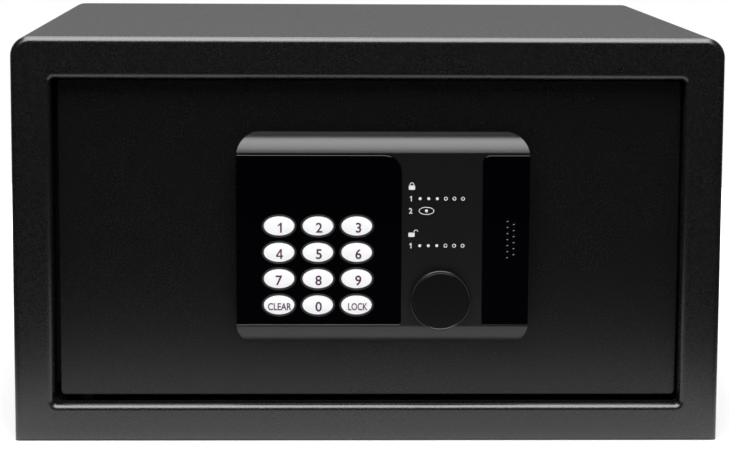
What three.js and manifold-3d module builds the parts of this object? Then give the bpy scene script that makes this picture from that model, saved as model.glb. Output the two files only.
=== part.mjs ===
// Electronic laptop safe with a recessed front door, twin locking bolts driven by a motor, a twelve-key
// code panel and a covered emergency key lock. Millimetres, +Z up, front towards -Y.
// Lengths along y are counted backwards from the cabinet's front plane, and the whole is then centred.
import * as THREE from 'three';
import { mergeVertices } from 'three/addons/utils/BufferGeometryUtils.js';
import Module from 'manifold-3d';

const wasm = await Module();
wasm.setup();

// Clearances and making allowances
const SEAT = 0.3; // between two pieces that touch face to face
const RUNNING = 0.3; // round a piece that slides or turns
const PAST = 1; // how far a cutting tool runs beyond what it cuts
const ROUND = 16; // sides of a small turned piece
const KEY_SIDES = 16;
const SMALL_SIDES = 8; // sides of a sound hole, a dome or a board post

// Steel cabinet
const cabinet = { width: 430, height: 247, depth: 400, sheet: 2, topRadius: 12, edgeRadius: 3 };
const frame = { side: 23, top: 24.5, bottom: 22, rollRadius: 2.5, cornerRadius: 2, lip: 10 };
const jamb = { sheet: 2, depth: 50 };
const boltSlot = { clearance: 2 };
const keeper = { thickness: 3, margin: 4, cornerRadius: 3 };
const guard = { thickness: 2.3, front: 32, depth: 16, endGap: 8 };
const anchor = { holeRadius: 6, spreadX: 120, floorDepth: 200, rearHeight: 123.5 };
const plug = { headRadius: 9, headThickness: 1.5, headTaper: 1 };
const mat = { thickness: 3, margin: 1.5, front: 54, cornerRadius: 8, plugRoom: 3 };

// Door leaf and its hinge
const doorGap = { hinge: 4, lock: 1.5, bottom: 4.4, top: 2 };
const door = { recess: 12, plate: 4, cornerRadius: 3, edgeRadius: 0.8, wireHoleRadius: 6 };
const pan = { setback: 4, sheet: 1.5, depth: 34, flange: 12, cornerRadius: 3 };
const hinge = { inset: 16, setback: 10 };
const pin = { radius: 4, tipTaper: 1, reach: 9, headRadius: 6, headThickness: 2 };
const bush = { wall: 1.2 };
const backCover = { setback: 2, sheet: 1.5, cornerRadius: 6, border: 18, rise: 6, slope: 4 };
const screw = { inset: 8.5, headRadius: 3.4, headThickness: 1.4, headTaper: 0.6, shankRadius: 1.6, reach: 4 };
const screwSlot = { width: 0.8, depth: 0.7 };

// Boltwork and motor drive, behind the door plate
const bolt = { radius: 9, length: 50, spacing: 80, throw: 16, proud: 1, setback: 19, chamfer: 1 };
const carrier = { plate: 3, setback: 3, armHeight: 12, crossWidth: 18, edge: 11, webDepth: 26 };
const lug = { width: 8, thickness: 3 };
const stud = { fromWeb: [24, 54], radius: 2, headRadius: 4, headThickness: 1.8 };
const boltGuide = { plate: 2, setback: 3, foot: 10, depth: 30, edge: 14 };
const gear = { module: 1, teeth: 14, pressure: 20, addendum: 0.9, dedendum: 1.2, toothWidth: 1.36, face: 4 };
const rack = { spareTeeth: 3 };
const motor = { fromWeb: 42, radius: 12, canRadius: 10, length: 22, shaftRadius: 2, shaftReach: 3 };
const motorTail = { radius: 3, length: 1.5 };
const motorBracket = { sheet: 1.5, width: 28, below: 16, above: 9, leg: 20, gearGap: 1.9 };

// Code panel on the outside of the door
const panel = { width: 177.4, height: 130.3, offsetX: 7.65, offsetZ: 0.7, proud: 13, wall: 2.5 };
const panelCorner = 14;
const panelEnd = { height: 12.35, fallAngle: 25, steps: 5 };
const inlay = { thickness: 1.6, proud: 0.4, edge: 0.9, backing: 2 };
const keyWindow = { width: 99.8, topRadius: 9.5, bottomRadius: 1.5 };
const strip = { width: 28.2, topRadius: 4.5, bottomRadius: 1 };
const sound = { fromEdge: 11, rise: 0.6, pitch: 3.7, columnGap: 3.75, radius: 1, counts: [7, 6] };
const key = { halfWidth: 9.45, halfHeight: 5.95, proud: 1, gap: 0.3, travel: 0.8 };
const keyField = { pitchX: 23.5, pitchZ: 16.13, fromLeft: 49.4, belowCentre: 15.35, room: 1 };
const keyCrown = { height: 0.35, inset: 2.2, edge: 0.5 };
const keyFlange = { width: 1.1, thickness: 1, gap: 0.4 };
const keyMat = { thickness: 1.2, margin: 3 };
const dome = { height: 0.8, radius: 4, taper: 1, gap: 0.2 };
const board = { thickness: 1.6, margin: 3, cornerRadius: 2 };
const post = { radius: 2.2, inset: 3.5 };
const display = { width: 56, height: 18, depth: 3.7, aboveKeys: 25, windowMargin: 3, cornerRadius: 1 };
const buzzer = { radius: 8, height: 5, taper: 1 };

// Emergency key lock under its round cap
const lock = { fromPanelX: 35.1, fromPanelZ: -36.4, radius: 9.5, length: 26, setback: 1.5 };
const lockCollar = { overhang: 2.5, thickness: 2.3 };
const lockNut = { overhang: 4, thickness: 4, sides: 6 };
const lockPlug = { radius: 6, recess: 1, keyWidth: 2.2, keyHeight: 8, keyDepth: 10 };
const cam = { halfWidth: 4, thickness: 2, tang: 6, bossWall: 1, lugRise: 15.2 };
const cap = { radius: 18.3, height: 3.7, rim: 0.95, edge: 0.4, dish: 0.2 };
const capGroove = { width: 0.3, depth: 0.4 };
const spigot = { radius: 13, length: 4.8 };

// Battery box in the back cover
const battery = { radius: 7.1, length: 50, pitch: 15, count: 4, bevel: 0.6 };
const terminal = { radius: 3, height: 1.2, shoulder: 0.8 };
const tray = { width: 62, height: 63, wall: 1.5, centreX: -20, belowMiddle: 3.5, depth: 23, flange: 3 };
const trayCorner = 3;
const batteryLid = { overlap: 3.5, thickness: 2, bevel: 0.6, tongue: 2 };
const grip = { count: 3, pitch: 3, width: 1.2, depth: 0.8, height: 18, inset: 6 };

const finishes = {
  powderCoat: new THREE.MeshStandardMaterial({ color: 0x17181a, roughness: 0.55, metalness: 0.2 }),
  insidePaint: new THREE.MeshStandardMaterial({ color: 0x1c1d1f, roughness: 0.7, metalness: 0.2 }),
  panelPlastic: new THREE.MeshStandardMaterial({ color: 0x1b1b1d, roughness: 0.4, metalness: 0.1 }),
  glossBlack: new THREE.MeshStandardMaterial({ color: 0x020203, roughness: 0.08, metalness: 0 }),
  keyWhite: new THREE.MeshStandardMaterial({ color: 0xf2f2f2, roughness: 0.35, metalness: 0 }),
  capPlastic: new THREE.MeshStandardMaterial({ color: 0x121213, roughness: 0.45, metalness: 0 }),
  plainSteel: new THREE.MeshStandardMaterial({ color: 0xa8abb0, roughness: 0.35, metalness: 1 }),
  chromedSteel: new THREE.MeshStandardMaterial({ color: 0xd5d7da, roughness: 0.12, metalness: 1 }),
  brass: new THREE.MeshStandardMaterial({ color: 0xb08d42, roughness: 0.3, metalness: 1 }),
  blackNylon: new THREE.MeshStandardMaterial({ color: 0x141415, roughness: 0.6, metalness: 0 }),
  blackRubber: new THREE.MeshStandardMaterial({ color: 0x101010, roughness: 0.85, metalness: 0 }),
  coverPlastic: new THREE.MeshStandardMaterial({ color: 0x202124, roughness: 0.6, metalness: 0 }),
  boardGreen: new THREE.MeshStandardMaterial({ color: 0x1d5a35, roughness: 0.5, metalness: 0 }),
  greyFelt: new THREE.MeshStandardMaterial({ color: 0x3c3d40, roughness: 0.95, metalness: 0 }),
  cellSleeve: new THREE.MeshStandardMaterial({ color: 0x2a3a52, roughness: 0.4, metalness: 0.2 }),
};

// A geometry as a solid that can be cut and joined.
function solid(geometry) {
  const bare = geometry.clone();
  bare.deleteAttribute('normal');
  bare.deleteAttribute('uv');
  const merged = mergeVertices(bare, 1e-4);
  return new wasm.Manifold(new wasm.Mesh({
    numProp: 3,
    vertProperties: merged.attributes.position.array,
    triVerts: new Uint32Array(merged.index.array),
  }));
}

const join = (first, ...others) => others.reduce((whole, other) => whole.add(other), first);
const cut = (first, ...tools) => tools.reduce((whole, tool) => whole.subtract(tool), first);

// A solid back as a named mesh.
function piece(name, made, material) {
  const { numProp, vertProperties, triVerts } = made.getMesh();
  const geometry = new THREE.BufferGeometry();
  geometry.setAttribute('position', new THREE.BufferAttribute(vertProperties, numProp));
  geometry.setIndex(new THREE.BufferAttribute(triVerts, 1));
  const flat = geometry.toNonIndexed();
  flat.computeVertexNormals();
  const mesh = new THREE.Mesh(flat, material);
  mesh.name = name;
  return mesh;
}

// A rectangle's corner points, counter-clockwise from the lower left. Each corner is an arc, given as one
// radius or as four in that order, and grow moves the whole outline outwards.
function outline(rect, radii, grow = 0, steps = 3) {
  const [lowerLeft, lowerRight, upperRight, upperLeft] = Array.isArray(radii) ? radii : Array(4).fill(radii);
  const sharp = 0.05;
  const corners = [
    [rect.left, rect.bottom, lowerLeft, 180, 1, 1],
    [rect.right, rect.bottom, lowerRight, 270, -1, 1],
    [rect.right, rect.top, upperRight, 0, -1, -1],
    [rect.left, rect.top, upperLeft, 90, 1, -1],
  ];
  return corners.flatMap(([x, z, radius, start, inX, inZ]) => {
    const r = Math.max(radius + grow, sharp);
    const centre = new THREE.Vector2(x + inX * (r - grow), z + inZ * (r - grow));
    return Array.from({ length: steps + 1 }, (_, i) => {
      const angle = THREE.MathUtils.degToRad(start + (90 * i) / steps);
      return new THREE.Vector2(r * Math.cos(angle), r * Math.sin(angle)).add(centre);
    });
  });
}

function ellipse(x, z, halfWidth, halfHeight, sides) {
  return Array.from({ length: sides }, (_, i) => {
    const angle = (2 * Math.PI * i) / sides;
    return new THREE.Vector2(x + halfWidth * Math.cos(angle), z + halfHeight * Math.sin(angle));
  });
}

// Where a drawing's right, up and depth directions go, for a prism along each axis.
const direction = (x, y, z) => new THREE.Vector3(x, y, z);
const DRAWN_ALONG = {
  x: new THREE.Matrix4().makeBasis(direction(0, 1, 0), direction(0, 0, 1), direction(1, 0, 0)),
  y: new THREE.Matrix4().makeBasis(direction(1, 0, 0), direction(0, 0, 1), direction(0, -1, 0)),
  z: new THREE.Matrix4(),
};

// Points pushed along an axis: drawn in (y, z) for x, in (x, z) for y and in (x, y) for z.
function prism(points, axis, from, to) {
  const made = new THREE.ExtrudeGeometry(new THREE.Shape(points), { depth: to - from, bevelEnabled: false });
  made.applyMatrix4(DRAWN_ALONG[axis]);
  made.translate(axis === 'x' ? from : 0, axis === 'y' ? to : 0, axis === 'z' ? from : 0);
  return solid(made);
}

function block(x0, x1, y0, y1, z0, z1) {
  const made = new THREE.BoxGeometry(x1 - x0, y1 - y0, z1 - z0);
  made.translate((x0 + x1) / 2, (y0 + y1) / 2, (z0 + z1) / 2);
  return solid(made);
}

// A closed profile of [radius, height] points revolved about an axis through a point. It may be drawn
// either way round.
function turned(profile, axis, at, sides = ROUND) {
  const area = profile.reduce((sum, [r, h], i) => {
    const [nextR, nextH] = profile[(i + 1) % profile.length];
    return sum + r * nextH - nextR * h;
  }, 0);
  const drawn = area > 0 ? profile : profile.toReversed();
  const made = new THREE.LatheGeometry(drawn.map(([r, h]) => new THREE.Vector2(r, h)), sides);
  if (axis === 'z') made.rotateX(Math.PI / 2);
  if (axis === 'x') made.rotateZ(-Math.PI / 2);
  made.translate(...at);
  return solid(made);
}

function rod(radius, from, to, axis, at, sides = ROUND) {
  return turned([[0, from], [radius, from], [radius, to], [0, to]], axis, at, sides);
}

// A solid skinned over outlines of one point count at rising depths, with flat ends.
function skinned(levels) {
  const count = levels[0].points.length;
  const positions = levels.flatMap(({ y, points }) => points.flatMap((p) => [p.x, y, p.y]));
  const index = [];
  for (let first = 0; first < (levels.length - 1) * count; first += count) {
    for (let i = 0; i < count; i += 1) {
      const near = first + i;
      const nearNext = first + ((i + 1) % count);
      index.push(near, near + count, nearNext, nearNext, near + count, nearNext + count);
    }
  }
  const last = (levels.length - 1) * count;
  THREE.ShapeUtils.triangulateShape(levels[0].points, []).forEach(([a, b, c]) => index.push(a, b, c));
  THREE.ShapeUtils.triangulateShape(levels.at(-1).points, []).forEach(([a, b, c]) => {
    index.push(last + a, last + c, last + b);
  });
  const made = new THREE.BufferGeometry();
  made.setAttribute('position', new THREE.Float32BufferAttribute(positions, 3));
  made.setIndex(index);
  return solid(made.toNonIndexed());
}

// A quarter round between two faces as steps of [inset, depth].
function quarterRound(radius, steps = 3) {
  return Array.from({ length: steps + 1 }, (_, i) => {
    const angle = (Math.PI / 2) * (i / steps);
    return [radius * (1 - Math.sin(angle)), radius * (1 - Math.cos(angle))];
  });
}

function shrink(rect, by) {
  return { left: rect.left + by, right: rect.right - by, bottom: rect.bottom + by, top: rect.top - by };
}

function cornersOf(rect) {
  return [[rect.left, rect.bottom], [rect.right, rect.bottom], [rect.left, rect.top], [rect.right, rect.top]];
}

function around(x, z, halfWidth, halfHeight) {
  return { left: x - halfWidth, right: x + halfWidth, bottom: z - halfHeight, top: z + halfHeight };
}

// Cabinet places
const outer = { left: -cabinet.width / 2, right: cabinet.width / 2, bottom: 0, top: cabinet.height };
const opening = {
  left: outer.left + frame.side,
  right: outer.right - frame.side,
  bottom: outer.bottom + frame.bottom,
  top: outer.top - frame.top,
};
const jambFront = frame.lip + SEAT;
const floorTop = cabinet.sheet;

// Door places
const leaf = {
  left: opening.left + doorGap.hinge,
  right: opening.right - doorGap.lock,
  bottom: opening.bottom + doorGap.bottom,
  top: opening.top - doorGap.top,
};
const leafMiddle = { x: (leaf.left + leaf.right) / 2, z: (leaf.bottom + leaf.top) / 2 };
const leafBack = door.recess + door.plate;
const behindLeaf = leafBack + SEAT;
const panRect = shrink(leaf, pan.setback);
const panBack = behindLeaf + pan.depth;
const pivot = { x: leaf.left + hinge.inset, y: door.recess + hinge.setback };
const coverFront = panBack + SEAT;
const coverFlat = coverFront + backCover.sheet;
const coverTop = coverFlat + backCover.rise;

// Boltwork places
const boltY = leafBack + bolt.setback;
const boltHeights = [leafMiddle.z - bolt.spacing / 2, leafMiddle.z + bolt.spacing / 2];
const boltTip = panRect.right + bolt.proud;
const slotHalf = bolt.radius + boltSlot.clearance;
const webRight = boltTip - bolt.length - SEAT;
const carrierFront = leafBack + carrier.setback;
const carrierBack = carrierFront + carrier.plate;
const armBottom = leafMiddle.z;
const toothPitch = Math.PI * gear.module;
const pitchRadius = (gear.module * gear.teeth) / 2;
const pinionAt = { x: webRight - motor.fromWeb, z: armBottom - gear.dedendum - pitchRadius };
const gearFront = (carrierFront + carrierBack - gear.face) / 2;
const bracketFront = gearFront + gear.face + motorBracket.gearGap;
const bracketBack = bracketFront + motorBracket.sheet;

// Code panel places
const panelRect = around(
  leafMiddle.x + panel.offsetX, leafMiddle.z + panel.offsetZ, panel.width / 2, panel.height / 2,
);
const panelMiddle = { x: leafMiddle.x + panel.offsetX, z: leafMiddle.z + panel.offsetZ };
const panelFront = door.recess - panel.proud;
const panelBack = door.recess - SEAT;
const crease = { bottom: panelRect.bottom + panelEnd.height, top: panelRect.top - panelEnd.height };
const inlayFront = panelFront - inlay.proud;
const inlayBack = inlayFront + inlay.thickness;
const recessFloor = inlayBack + SEAT;
const cavityFront = recessFloor + inlay.backing;
const keyColumns = [-1, 0, 1].map((i) => panelRect.left + keyField.fromLeft + i * keyField.pitchX);
const keyRows = [1.5, 0.5, -0.5, -1.5].map((i) => panelMiddle.z - keyField.belowCentre + i * keyField.pitchZ);
const keyFlangeFront = inlayBack + keyFlange.gap;
const keyBack = keyFlangeFront + keyFlange.thickness;
const matFront = keyBack + key.travel + dome.gap + dome.height;
const boardFront = matFront + keyMat.thickness + SEAT;
const soundAt = { x: panelRect.right - sound.fromEdge, z: panelMiddle.z + sound.rise };

// Emergency lock places. The cam is long enough to push the carrier's lug back through the whole throw.
const lockAt = { x: panelMiddle.x + lock.fromPanelX, z: panelMiddle.z + lock.fromPanelZ };
const barrelFront = cavityFront + lock.setback;
const barrelBack = barrelFront + lock.length;
const camFront = barrelBack + 2 * SEAT;
const camSweep = cam.halfWidth + bolt.throw;
const camLength = Math.sqrt(camSweep ** 2 + cam.lugRise ** 2 - cam.halfWidth ** 2);
const lugRight = lockAt.x - camSweep - SEAT;

// Battery box places
const trayMiddle = { x: tray.centreX, z: leafMiddle.z - tray.belowMiddle };
const trayRect = around(trayMiddle.x, trayMiddle.z, tray.width / 2, tray.height / 2);
const trayFront = coverTop - tray.depth;

// Top, sides and front frame, folded and welded, with rolled outer edges and a rolled door opening.
function cabinetShell() {
  const top = cabinet.topRadius;
  const rolledIn = (inset) => ({ ...shrink(outer, inset), bottom: outer.bottom });
  const skin = skinned([
    ...quarterRound(cabinet.edgeRadius).map(([inset, y]) => (
      { y, points: outline(rolledIn(inset), [0, 0, top - inset, top - inset]) }
    )),
    { y: cabinet.depth, points: outline(outer, [0, 0, top, top]) },
  ]);
  const room = { ...shrink(outer, cabinet.sheet), bottom: -PAST };
  const roomTop = top - cabinet.sheet;
  const hollow = prism(outline(room, [0, 0, roomTop, roomTop]), 'y', cabinet.sheet, cabinet.depth + PAST);
  const lip = prism(outline(opening, frame.cornerRadius, cabinet.sheet), 'y', cabinet.sheet / 2, frame.lip);
  const mouth = skinned([
    { y: -PAST, points: outline(opening, frame.cornerRadius, frame.rollRadius) },
    ...quarterRound(frame.rollRadius).map(([inset, y]) => (
      { y, points: outline(opening, frame.cornerRadius, inset) }
    )),
    { y: frame.lip + PAST, points: outline(opening, frame.cornerRadius) },
  ]);
  return cut(join(cut(skin, hollow), lip), mouth);
}

function anchorHole(side, axis) {
  const x = side * anchor.spreadX;
  if (axis === 'z') return rod(anchor.holeRadius, -PAST, floorTop + PAST, 'z', [x, anchor.floorDepth, 0]);
  return rod(anchor.holeRadius, 0, cabinet.depth + PAST, 'y', [x, 0, anchor.rearHeight]);
}

function floorPlate() {
  const half = outer.right - cabinet.sheet - SEAT;
  const back = cabinet.depth - cabinet.sheet - SEAT;
  const plate = block(-half, half, cabinet.sheet + SEAT, back, 0, floorTop);
  return cut(plate, anchorHole(-1, 'z'), anchorHole(1, 'z'));
}

function rearPanel() {
  const inside = { ...shrink(outer, cabinet.sheet + SEAT), bottom: outer.bottom };
  const top = cabinet.topRadius - cabinet.sheet - SEAT;
  const plate = prism(outline(inside, [0, 0, top, top]), 'y', cabinet.depth - cabinet.sheet, cabinet.depth);
  return cut(plate, anchorHole(-1, 'y'), anchorHole(1, 'y'));
}

// Liner behind the front frame: the bolts enter its lock side and the hinge pins stand in its top and bottom.
function doorJamb() {
  const liner = cut(
    prism(outline(opening, frame.cornerRadius, jamb.sheet), 'y', jambFront, jamb.depth),
    prism(outline(opening, frame.cornerRadius), 'y', jambFront - PAST, jamb.depth + PAST),
  );
  const boltSlots = boltHeights.map((z) => block(
    opening.right - PAST, opening.right + jamb.sheet + PAST,
    boltY - slotHalf, boltY + slotHalf, z - slotHalf, z + slotHalf,
  ));
  const pinHole = rod(pin.radius + RUNNING, outer.bottom, outer.top, 'z', [pivot.x, pivot.y, 0]);
  return cut(liner, ...boltSlots, pinHole);
}

// Doubling plate behind the jamb that takes the bolts' load.
function boltKeeper() {
  const half = slotHalf + keeper.margin;
  const rect = {
    left: boltY - half, right: boltY + half, bottom: boltHeights[0] - half, top: boltHeights[1] + half,
  };
  const front = opening.right + jamb.sheet + SEAT;
  const back = front + keeper.thickness;
  const slots = boltHeights.map((z) => block(
    front - PAST, back + PAST, boltY - slotHalf, boltY + slotHalf, z - slotHalf, z + slotHalf,
  ));
  return cut(prism(outline(rect, keeper.cornerRadius), 'x', front, back), ...slots);
}

// Anti-pry strip on the hinge side, seen through the door gap.
function hingeGuard() {
  const left = opening.left + SEAT;
  return block(
    left, left + guard.thickness, guard.front, guard.front + guard.depth,
    opening.bottom + guard.endGap, opening.top - guard.endGap,
  );
}

// A pin whose head rests outside the jamb and whose tip reaches into the door pan. Side is 1 at the top.
function hingePin(side) {
  const [jambFace, panFace] = side > 0 ? [opening.top, panRect.top] : [opening.bottom, panRect.bottom];
  const seat = jambFace + side * (jamb.sheet + SEAT);
  const head = seat + side * pin.headThickness;
  const tip = panFace - side * (pan.sheet + pin.reach);
  const profile = [
    [0, tip],
    [pin.radius - pin.tipTaper, tip],
    [pin.radius, tip + side * pin.tipTaper],
    [pin.radius, seat],
    [pin.headRadius, seat],
    [pin.headRadius, head],
    [0, head],
  ];
  return turned(profile, 'z', [pivot.x, pivot.y, 0]);
}

// A spacer on the pin that the door turns against.
function hingeBush(side) {
  const [jambFace, panFace] = side > 0 ? [opening.top, panRect.top] : [opening.bottom, panRect.bottom];
  const from = panFace + side * SEAT;
  const to = jambFace - side * SEAT;
  const bore = pin.radius + RUNNING;
  const outside = bore + bush.wall;
  const profile = [[bore, from], [outside, from], [outside, to], [bore, to], [bore, from]];
  return turned(profile, 'z', [pivot.x, pivot.y, 0]);
}

// A push-in plug that closes an anchor hole from inside. Its profile starts at the outer face.
function anchorPlug(side, axis) {
  const stem = anchor.holeRadius - SEAT;
  const seat = cabinet.sheet + SEAT;
  const head = seat + plug.headThickness;
  const profile = [
    [0, 0],
    [stem, 0],
    [stem, seat],
    [plug.headRadius, seat],
    [plug.headRadius - plug.headTaper, head],
    [0, head],
  ];
  if (axis === 'z') return turned(profile, 'z', [side * anchor.spreadX, anchor.floorDepth, 0]);
  const inwards = profile.map(([r, h]) => [r, -h]);
  return turned(inwards, 'y', [side * anchor.spreadX, cabinet.depth, anchor.rearHeight]);
}

function floorMat() {
  const half = outer.right - cabinet.sheet - mat.margin;
  const back = cabinet.depth - cabinet.sheet - mat.margin;
  const rect = { left: -half, right: half, bottom: mat.front, top: back };
  const bottom = floorTop + SEAT;
  const sheet = prism(outline(rect, mat.cornerRadius), 'z', bottom, bottom + mat.thickness);
  const room = plug.headRadius + mat.plugRoom;
  const holes = [-1, 1].map((side) => rod(
    room, 0, bottom + mat.thickness + PAST, 'z', [side * anchor.spreadX, anchor.floorDepth, 0],
  ));
  return cut(sheet, ...holes);
}

// Flat steel door leaf with softened front edges.
function doorPlate() {
  const plate = skinned([
    ...quarterRound(door.edgeRadius, 2).map(([inset, y]) => (
      { y: door.recess + y, points: outline(leaf, door.cornerRadius, -inset) }
    )),
    { y: leafBack, points: outline(leaf, door.cornerRadius) },
  ]);
  const through = [door.recess - PAST, leafBack + PAST, 'y'];
  const lockHole = rod(lock.radius + SEAT, ...through, [lockAt.x, 0, lockAt.z]);
  const wireHole = rod(door.wireHoleRadius, ...through, [trayMiddle.x, 0, trayMiddle.z]);
  return cut(plate, lockHole, wireHole);
}

const coverScrewPlaces = () => cornersOf(shrink(panRect, screw.inset));

function coverScrewHoles(from, to) {
  const radius = screw.shankRadius + RUNNING;
  return coverScrewPlaces().map(([x, z]) => rod(radius, from - PAST, to + PAST, 'y', [x, 0, z], 8));
}

// Folded tray behind the leaf: four walls and an inward flange that carries the back cover.
function doorPan() {
  const tub = prism(outline(panRect, pan.cornerRadius), 'y', behindLeaf, panBack);
  const inside = outline(shrink(panRect, pan.sheet), pan.cornerRadius - pan.sheet);
  const hollow = prism(inside, 'y', behindLeaf - PAST, panBack - pan.sheet);
  const mouthOutline = outline(shrink(panRect, pan.flange), pan.cornerRadius);
  const mouth = prism(mouthOutline, 'y', behindLeaf, panBack + PAST);
  const wall = [panRect.right - pan.sheet - PAST, panRect.right + PAST, 'x'];
  const boltHoles = boltHeights.map((z) => rod(bolt.radius + RUNNING, ...wall, [0, boltY, z]));
  const height = [panRect.bottom - PAST, panRect.top + PAST, 'z'];
  const pinHole = rod(pin.radius + RUNNING, ...height, [pivot.x, pivot.y, 0]);
  return cut(tub, hollow, mouth, ...boltHoles, pinHole, ...coverScrewHoles(panBack - pan.sheet, panBack));
}

// Moulded back cover with a raised field round the battery box.
function doorBackCover() {
  const base = shrink(panRect, backCover.setback);
  const foot = shrink(base, backCover.border);
  const crown = shrink(foot, backCover.slope);
  const r = backCover.cornerRadius;
  const flat = prism(outline(base, r), 'y', coverFront, coverFlat);
  const raised = skinned([
    { y: coverFront, points: outline(foot, r) },
    { y: coverFlat, points: outline(foot, r) },
    { y: coverTop, points: outline(crown, r) },
  ]);
  const hollow = skinned([
    { y: coverFront - PAST, points: outline(foot, r, -backCover.sheet) },
    { y: coverFront, points: outline(foot, r, -backCover.sheet) },
    { y: coverTop - backCover.sheet, points: outline(crown, r, -backCover.sheet) },
  ]);
  const window = prism(outline(trayRect, trayCorner, SEAT), 'y', coverFront - PAST, coverTop + PAST);
  return cut(join(flat, raised), hollow, window, ...coverScrewHoles(coverFront, coverFlat));
}

function coverScrew([x, z]) {
  const seat = coverFlat + SEAT;
  const head = seat + screw.headThickness;
  const tip = panBack - screw.reach;
  const profile = [
    [0, tip],
    [screw.shankRadius, tip],
    [screw.shankRadius, seat],
    [screw.headRadius, seat],
    [screw.headRadius - screw.headTaper, head],
    [0, head],
  ];
  const r = screw.headRadius;
  const half = screwSlot.width / 2;
  const driverSlot = block(x - r, x + r, head - screwSlot.depth, head + PAST, z - half, z + half);
  return cut(turned(profile, 'y', [x, 0, z], 12), driverSlot);
}

function lockingBolt(z) {
  const back = boltTip - bolt.length;
  const profile = [
    [0, back],
    [bolt.radius, back],
    [bolt.radius, boltTip - bolt.chamfer],
    [bolt.radius - bolt.chamfer, boltTip],
    [0, boltTip],
  ];
  return turned(profile, 'x', [0, boltY, z], 20);
}

// Half the angle of a gear tooth at a radius, by the involute.
function toothHalfAngle(radius) {
  const pressure = THREE.MathUtils.degToRad(gear.pressure);
  const baseRadius = pitchRadius * Math.cos(pressure);
  const here = Math.acos(Math.min(1, baseRadius / radius));
  const involute = (angle) => Math.tan(angle) - angle;
  return gear.toothWidth / (2 * pitchRadius) + involute(pressure) - involute(here);
}

// Spur pinion with its shaft. One tooth points up, into a gap of the rack.
function drivePinion() {
  const radii = [pitchRadius - gear.dedendum, pitchRadius, pitchRadius + gear.addendum];
  const tooth = [
    ...radii.map((r) => [r, -toothHalfAngle(r)]),
    ...radii.toReversed().map((r) => [r, toothHalfAngle(r)]),
  ];
  const points = Array.from({ length: gear.teeth }, (_, i) => tooth.map(([r, side]) => {
    const angle = Math.PI / 2 + (2 * Math.PI * i) / gear.teeth + side;
    return new THREE.Vector2(pinionAt.x + r * Math.cos(angle), pinionAt.z + r * Math.sin(angle));
  })).flat();
  const wheel = prism(points, 'y', gearFront, gearFront + gear.face);
  const shaftEnd = bracketBack + motor.shaftReach;
  return join(wheel, rod(motor.shaftRadius, gearFront - SEAT, shaftEnd, 'y', [pinionAt.x, 0, pinionAt.z]));
}

// Rack teeth, as many as the throw needs, with a gap over the pinion when the bolts are back.
function rackTeeth() {
  const toLeft = Math.ceil(bolt.throw / toothPitch) + rack.spareTeeth;
  const slant = Math.tan(THREE.MathUtils.degToRad(gear.pressure));
  const rootHalf = gear.toothWidth / 2 + gear.dedendum * slant;
  const tipHalf = gear.toothWidth / 2 - gear.addendum * slant;
  const rootZ = armBottom;
  const tipZ = armBottom - gear.dedendum - gear.addendum;
  return Array.from({ length: toLeft + rack.spareTeeth }, (_, i) => {
    const x = pinionAt.x + (i - toLeft + 0.5) * toothPitch;
    const corners = [
      [x - rootHalf, rootZ + PAST], [x - rootHalf, rootZ], [x - tipHalf, tipZ],
      [x + tipHalf, tipZ], [x + rootHalf, rootZ], [x + rootHalf, rootZ + PAST],
    ];
    return prism(corners.map(([cx, cz]) => new THREE.Vector2(cx, cz)), 'y', carrierFront, carrierBack);
  });
}

function studPlaces() {
  return stud.fromWeb.map((distance) => [webRight - distance, armBottom + carrier.armHeight / 2]);
}

// Sliding plate that carries both bolts: a cross with a bent web, an arm with the rack and two guide slots,
// and a bent lug at the arm's end for the emergency cam.
function boltCarrier() {
  const crossLeft = webRight - carrier.crossWidth;
  const crossBottom = boltHeights[0] - carrier.edge;
  const crossTop = boltHeights[1] + carrier.edge;
  const lugLeft = lugRight - lug.width;
  const lugBottom = lockAt.z + cam.lugRise;
  const armTop = armBottom + carrier.armHeight;
  const arm = block(lugLeft, crossLeft + PAST, carrierFront, carrierBack, armBottom, armTop);
  const cross = block(crossLeft, webRight, carrierFront, carrierBack, crossBottom, crossTop);
  const web = block(
    webRight - carrier.plate, webRight, carrierFront, carrierFront + carrier.webDepth, crossBottom, crossTop,
  );
  const hanger = block(lugLeft, lugRight, carrierFront, carrierBack, lugBottom, armBottom + PAST);
  const tab = block(
    lugRight - lug.thickness, lugRight, carrierFront, camFront + cam.thickness + SEAT, lugBottom, armBottom,
  );
  const slots = studPlaces().map(([x, z]) => {
    const r = stud.radius + RUNNING;
    const rect = { left: x - bolt.throw - r, right: x + r, bottom: z - r, top: z + r };
    return prism(outline(rect, r), 'y', carrierFront - PAST, carrierBack + PAST);
  });
  return cut(join(arm, cross, web, hanger, tab, ...rackTeeth()), ...slots);
}

// Shouldered stud on the door plate that holds the carrier down.
function guideStud([x, z]) {
  const head = carrierBack + SEAT;
  const top = head + stud.headThickness;
  const profile = [
    [0, behindLeaf],
    [stud.radius, behindLeaf],
    [stud.radius, head],
    [stud.headRadius, head],
    [stud.headRadius, top],
    [0, top],
  ];
  return turned(profile, 'y', [x, 0, z], 12);
}

// Angle bracket that guides both bolts near the pan wall.
function boltGuideBracket() {
  const left = webRight + bolt.throw + boltGuide.setback;
  const right = left + boltGuide.plate;
  const bottom = boltHeights[0] - boltGuide.edge;
  const top = boltHeights[1] + boltGuide.edge;
  const wall = block(left, right, behindLeaf, behindLeaf + boltGuide.depth, bottom, top);
  const foot = block(left, left + boltGuide.foot, behindLeaf, behindLeaf + boltGuide.plate, bottom, top);
  const holes = boltHeights.map((z) => rod(
    bolt.radius + RUNNING, left - PAST, right + PAST, 'x', [0, boltY, z],
  ));
  return cut(join(wall, foot), ...holes);
}

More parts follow.
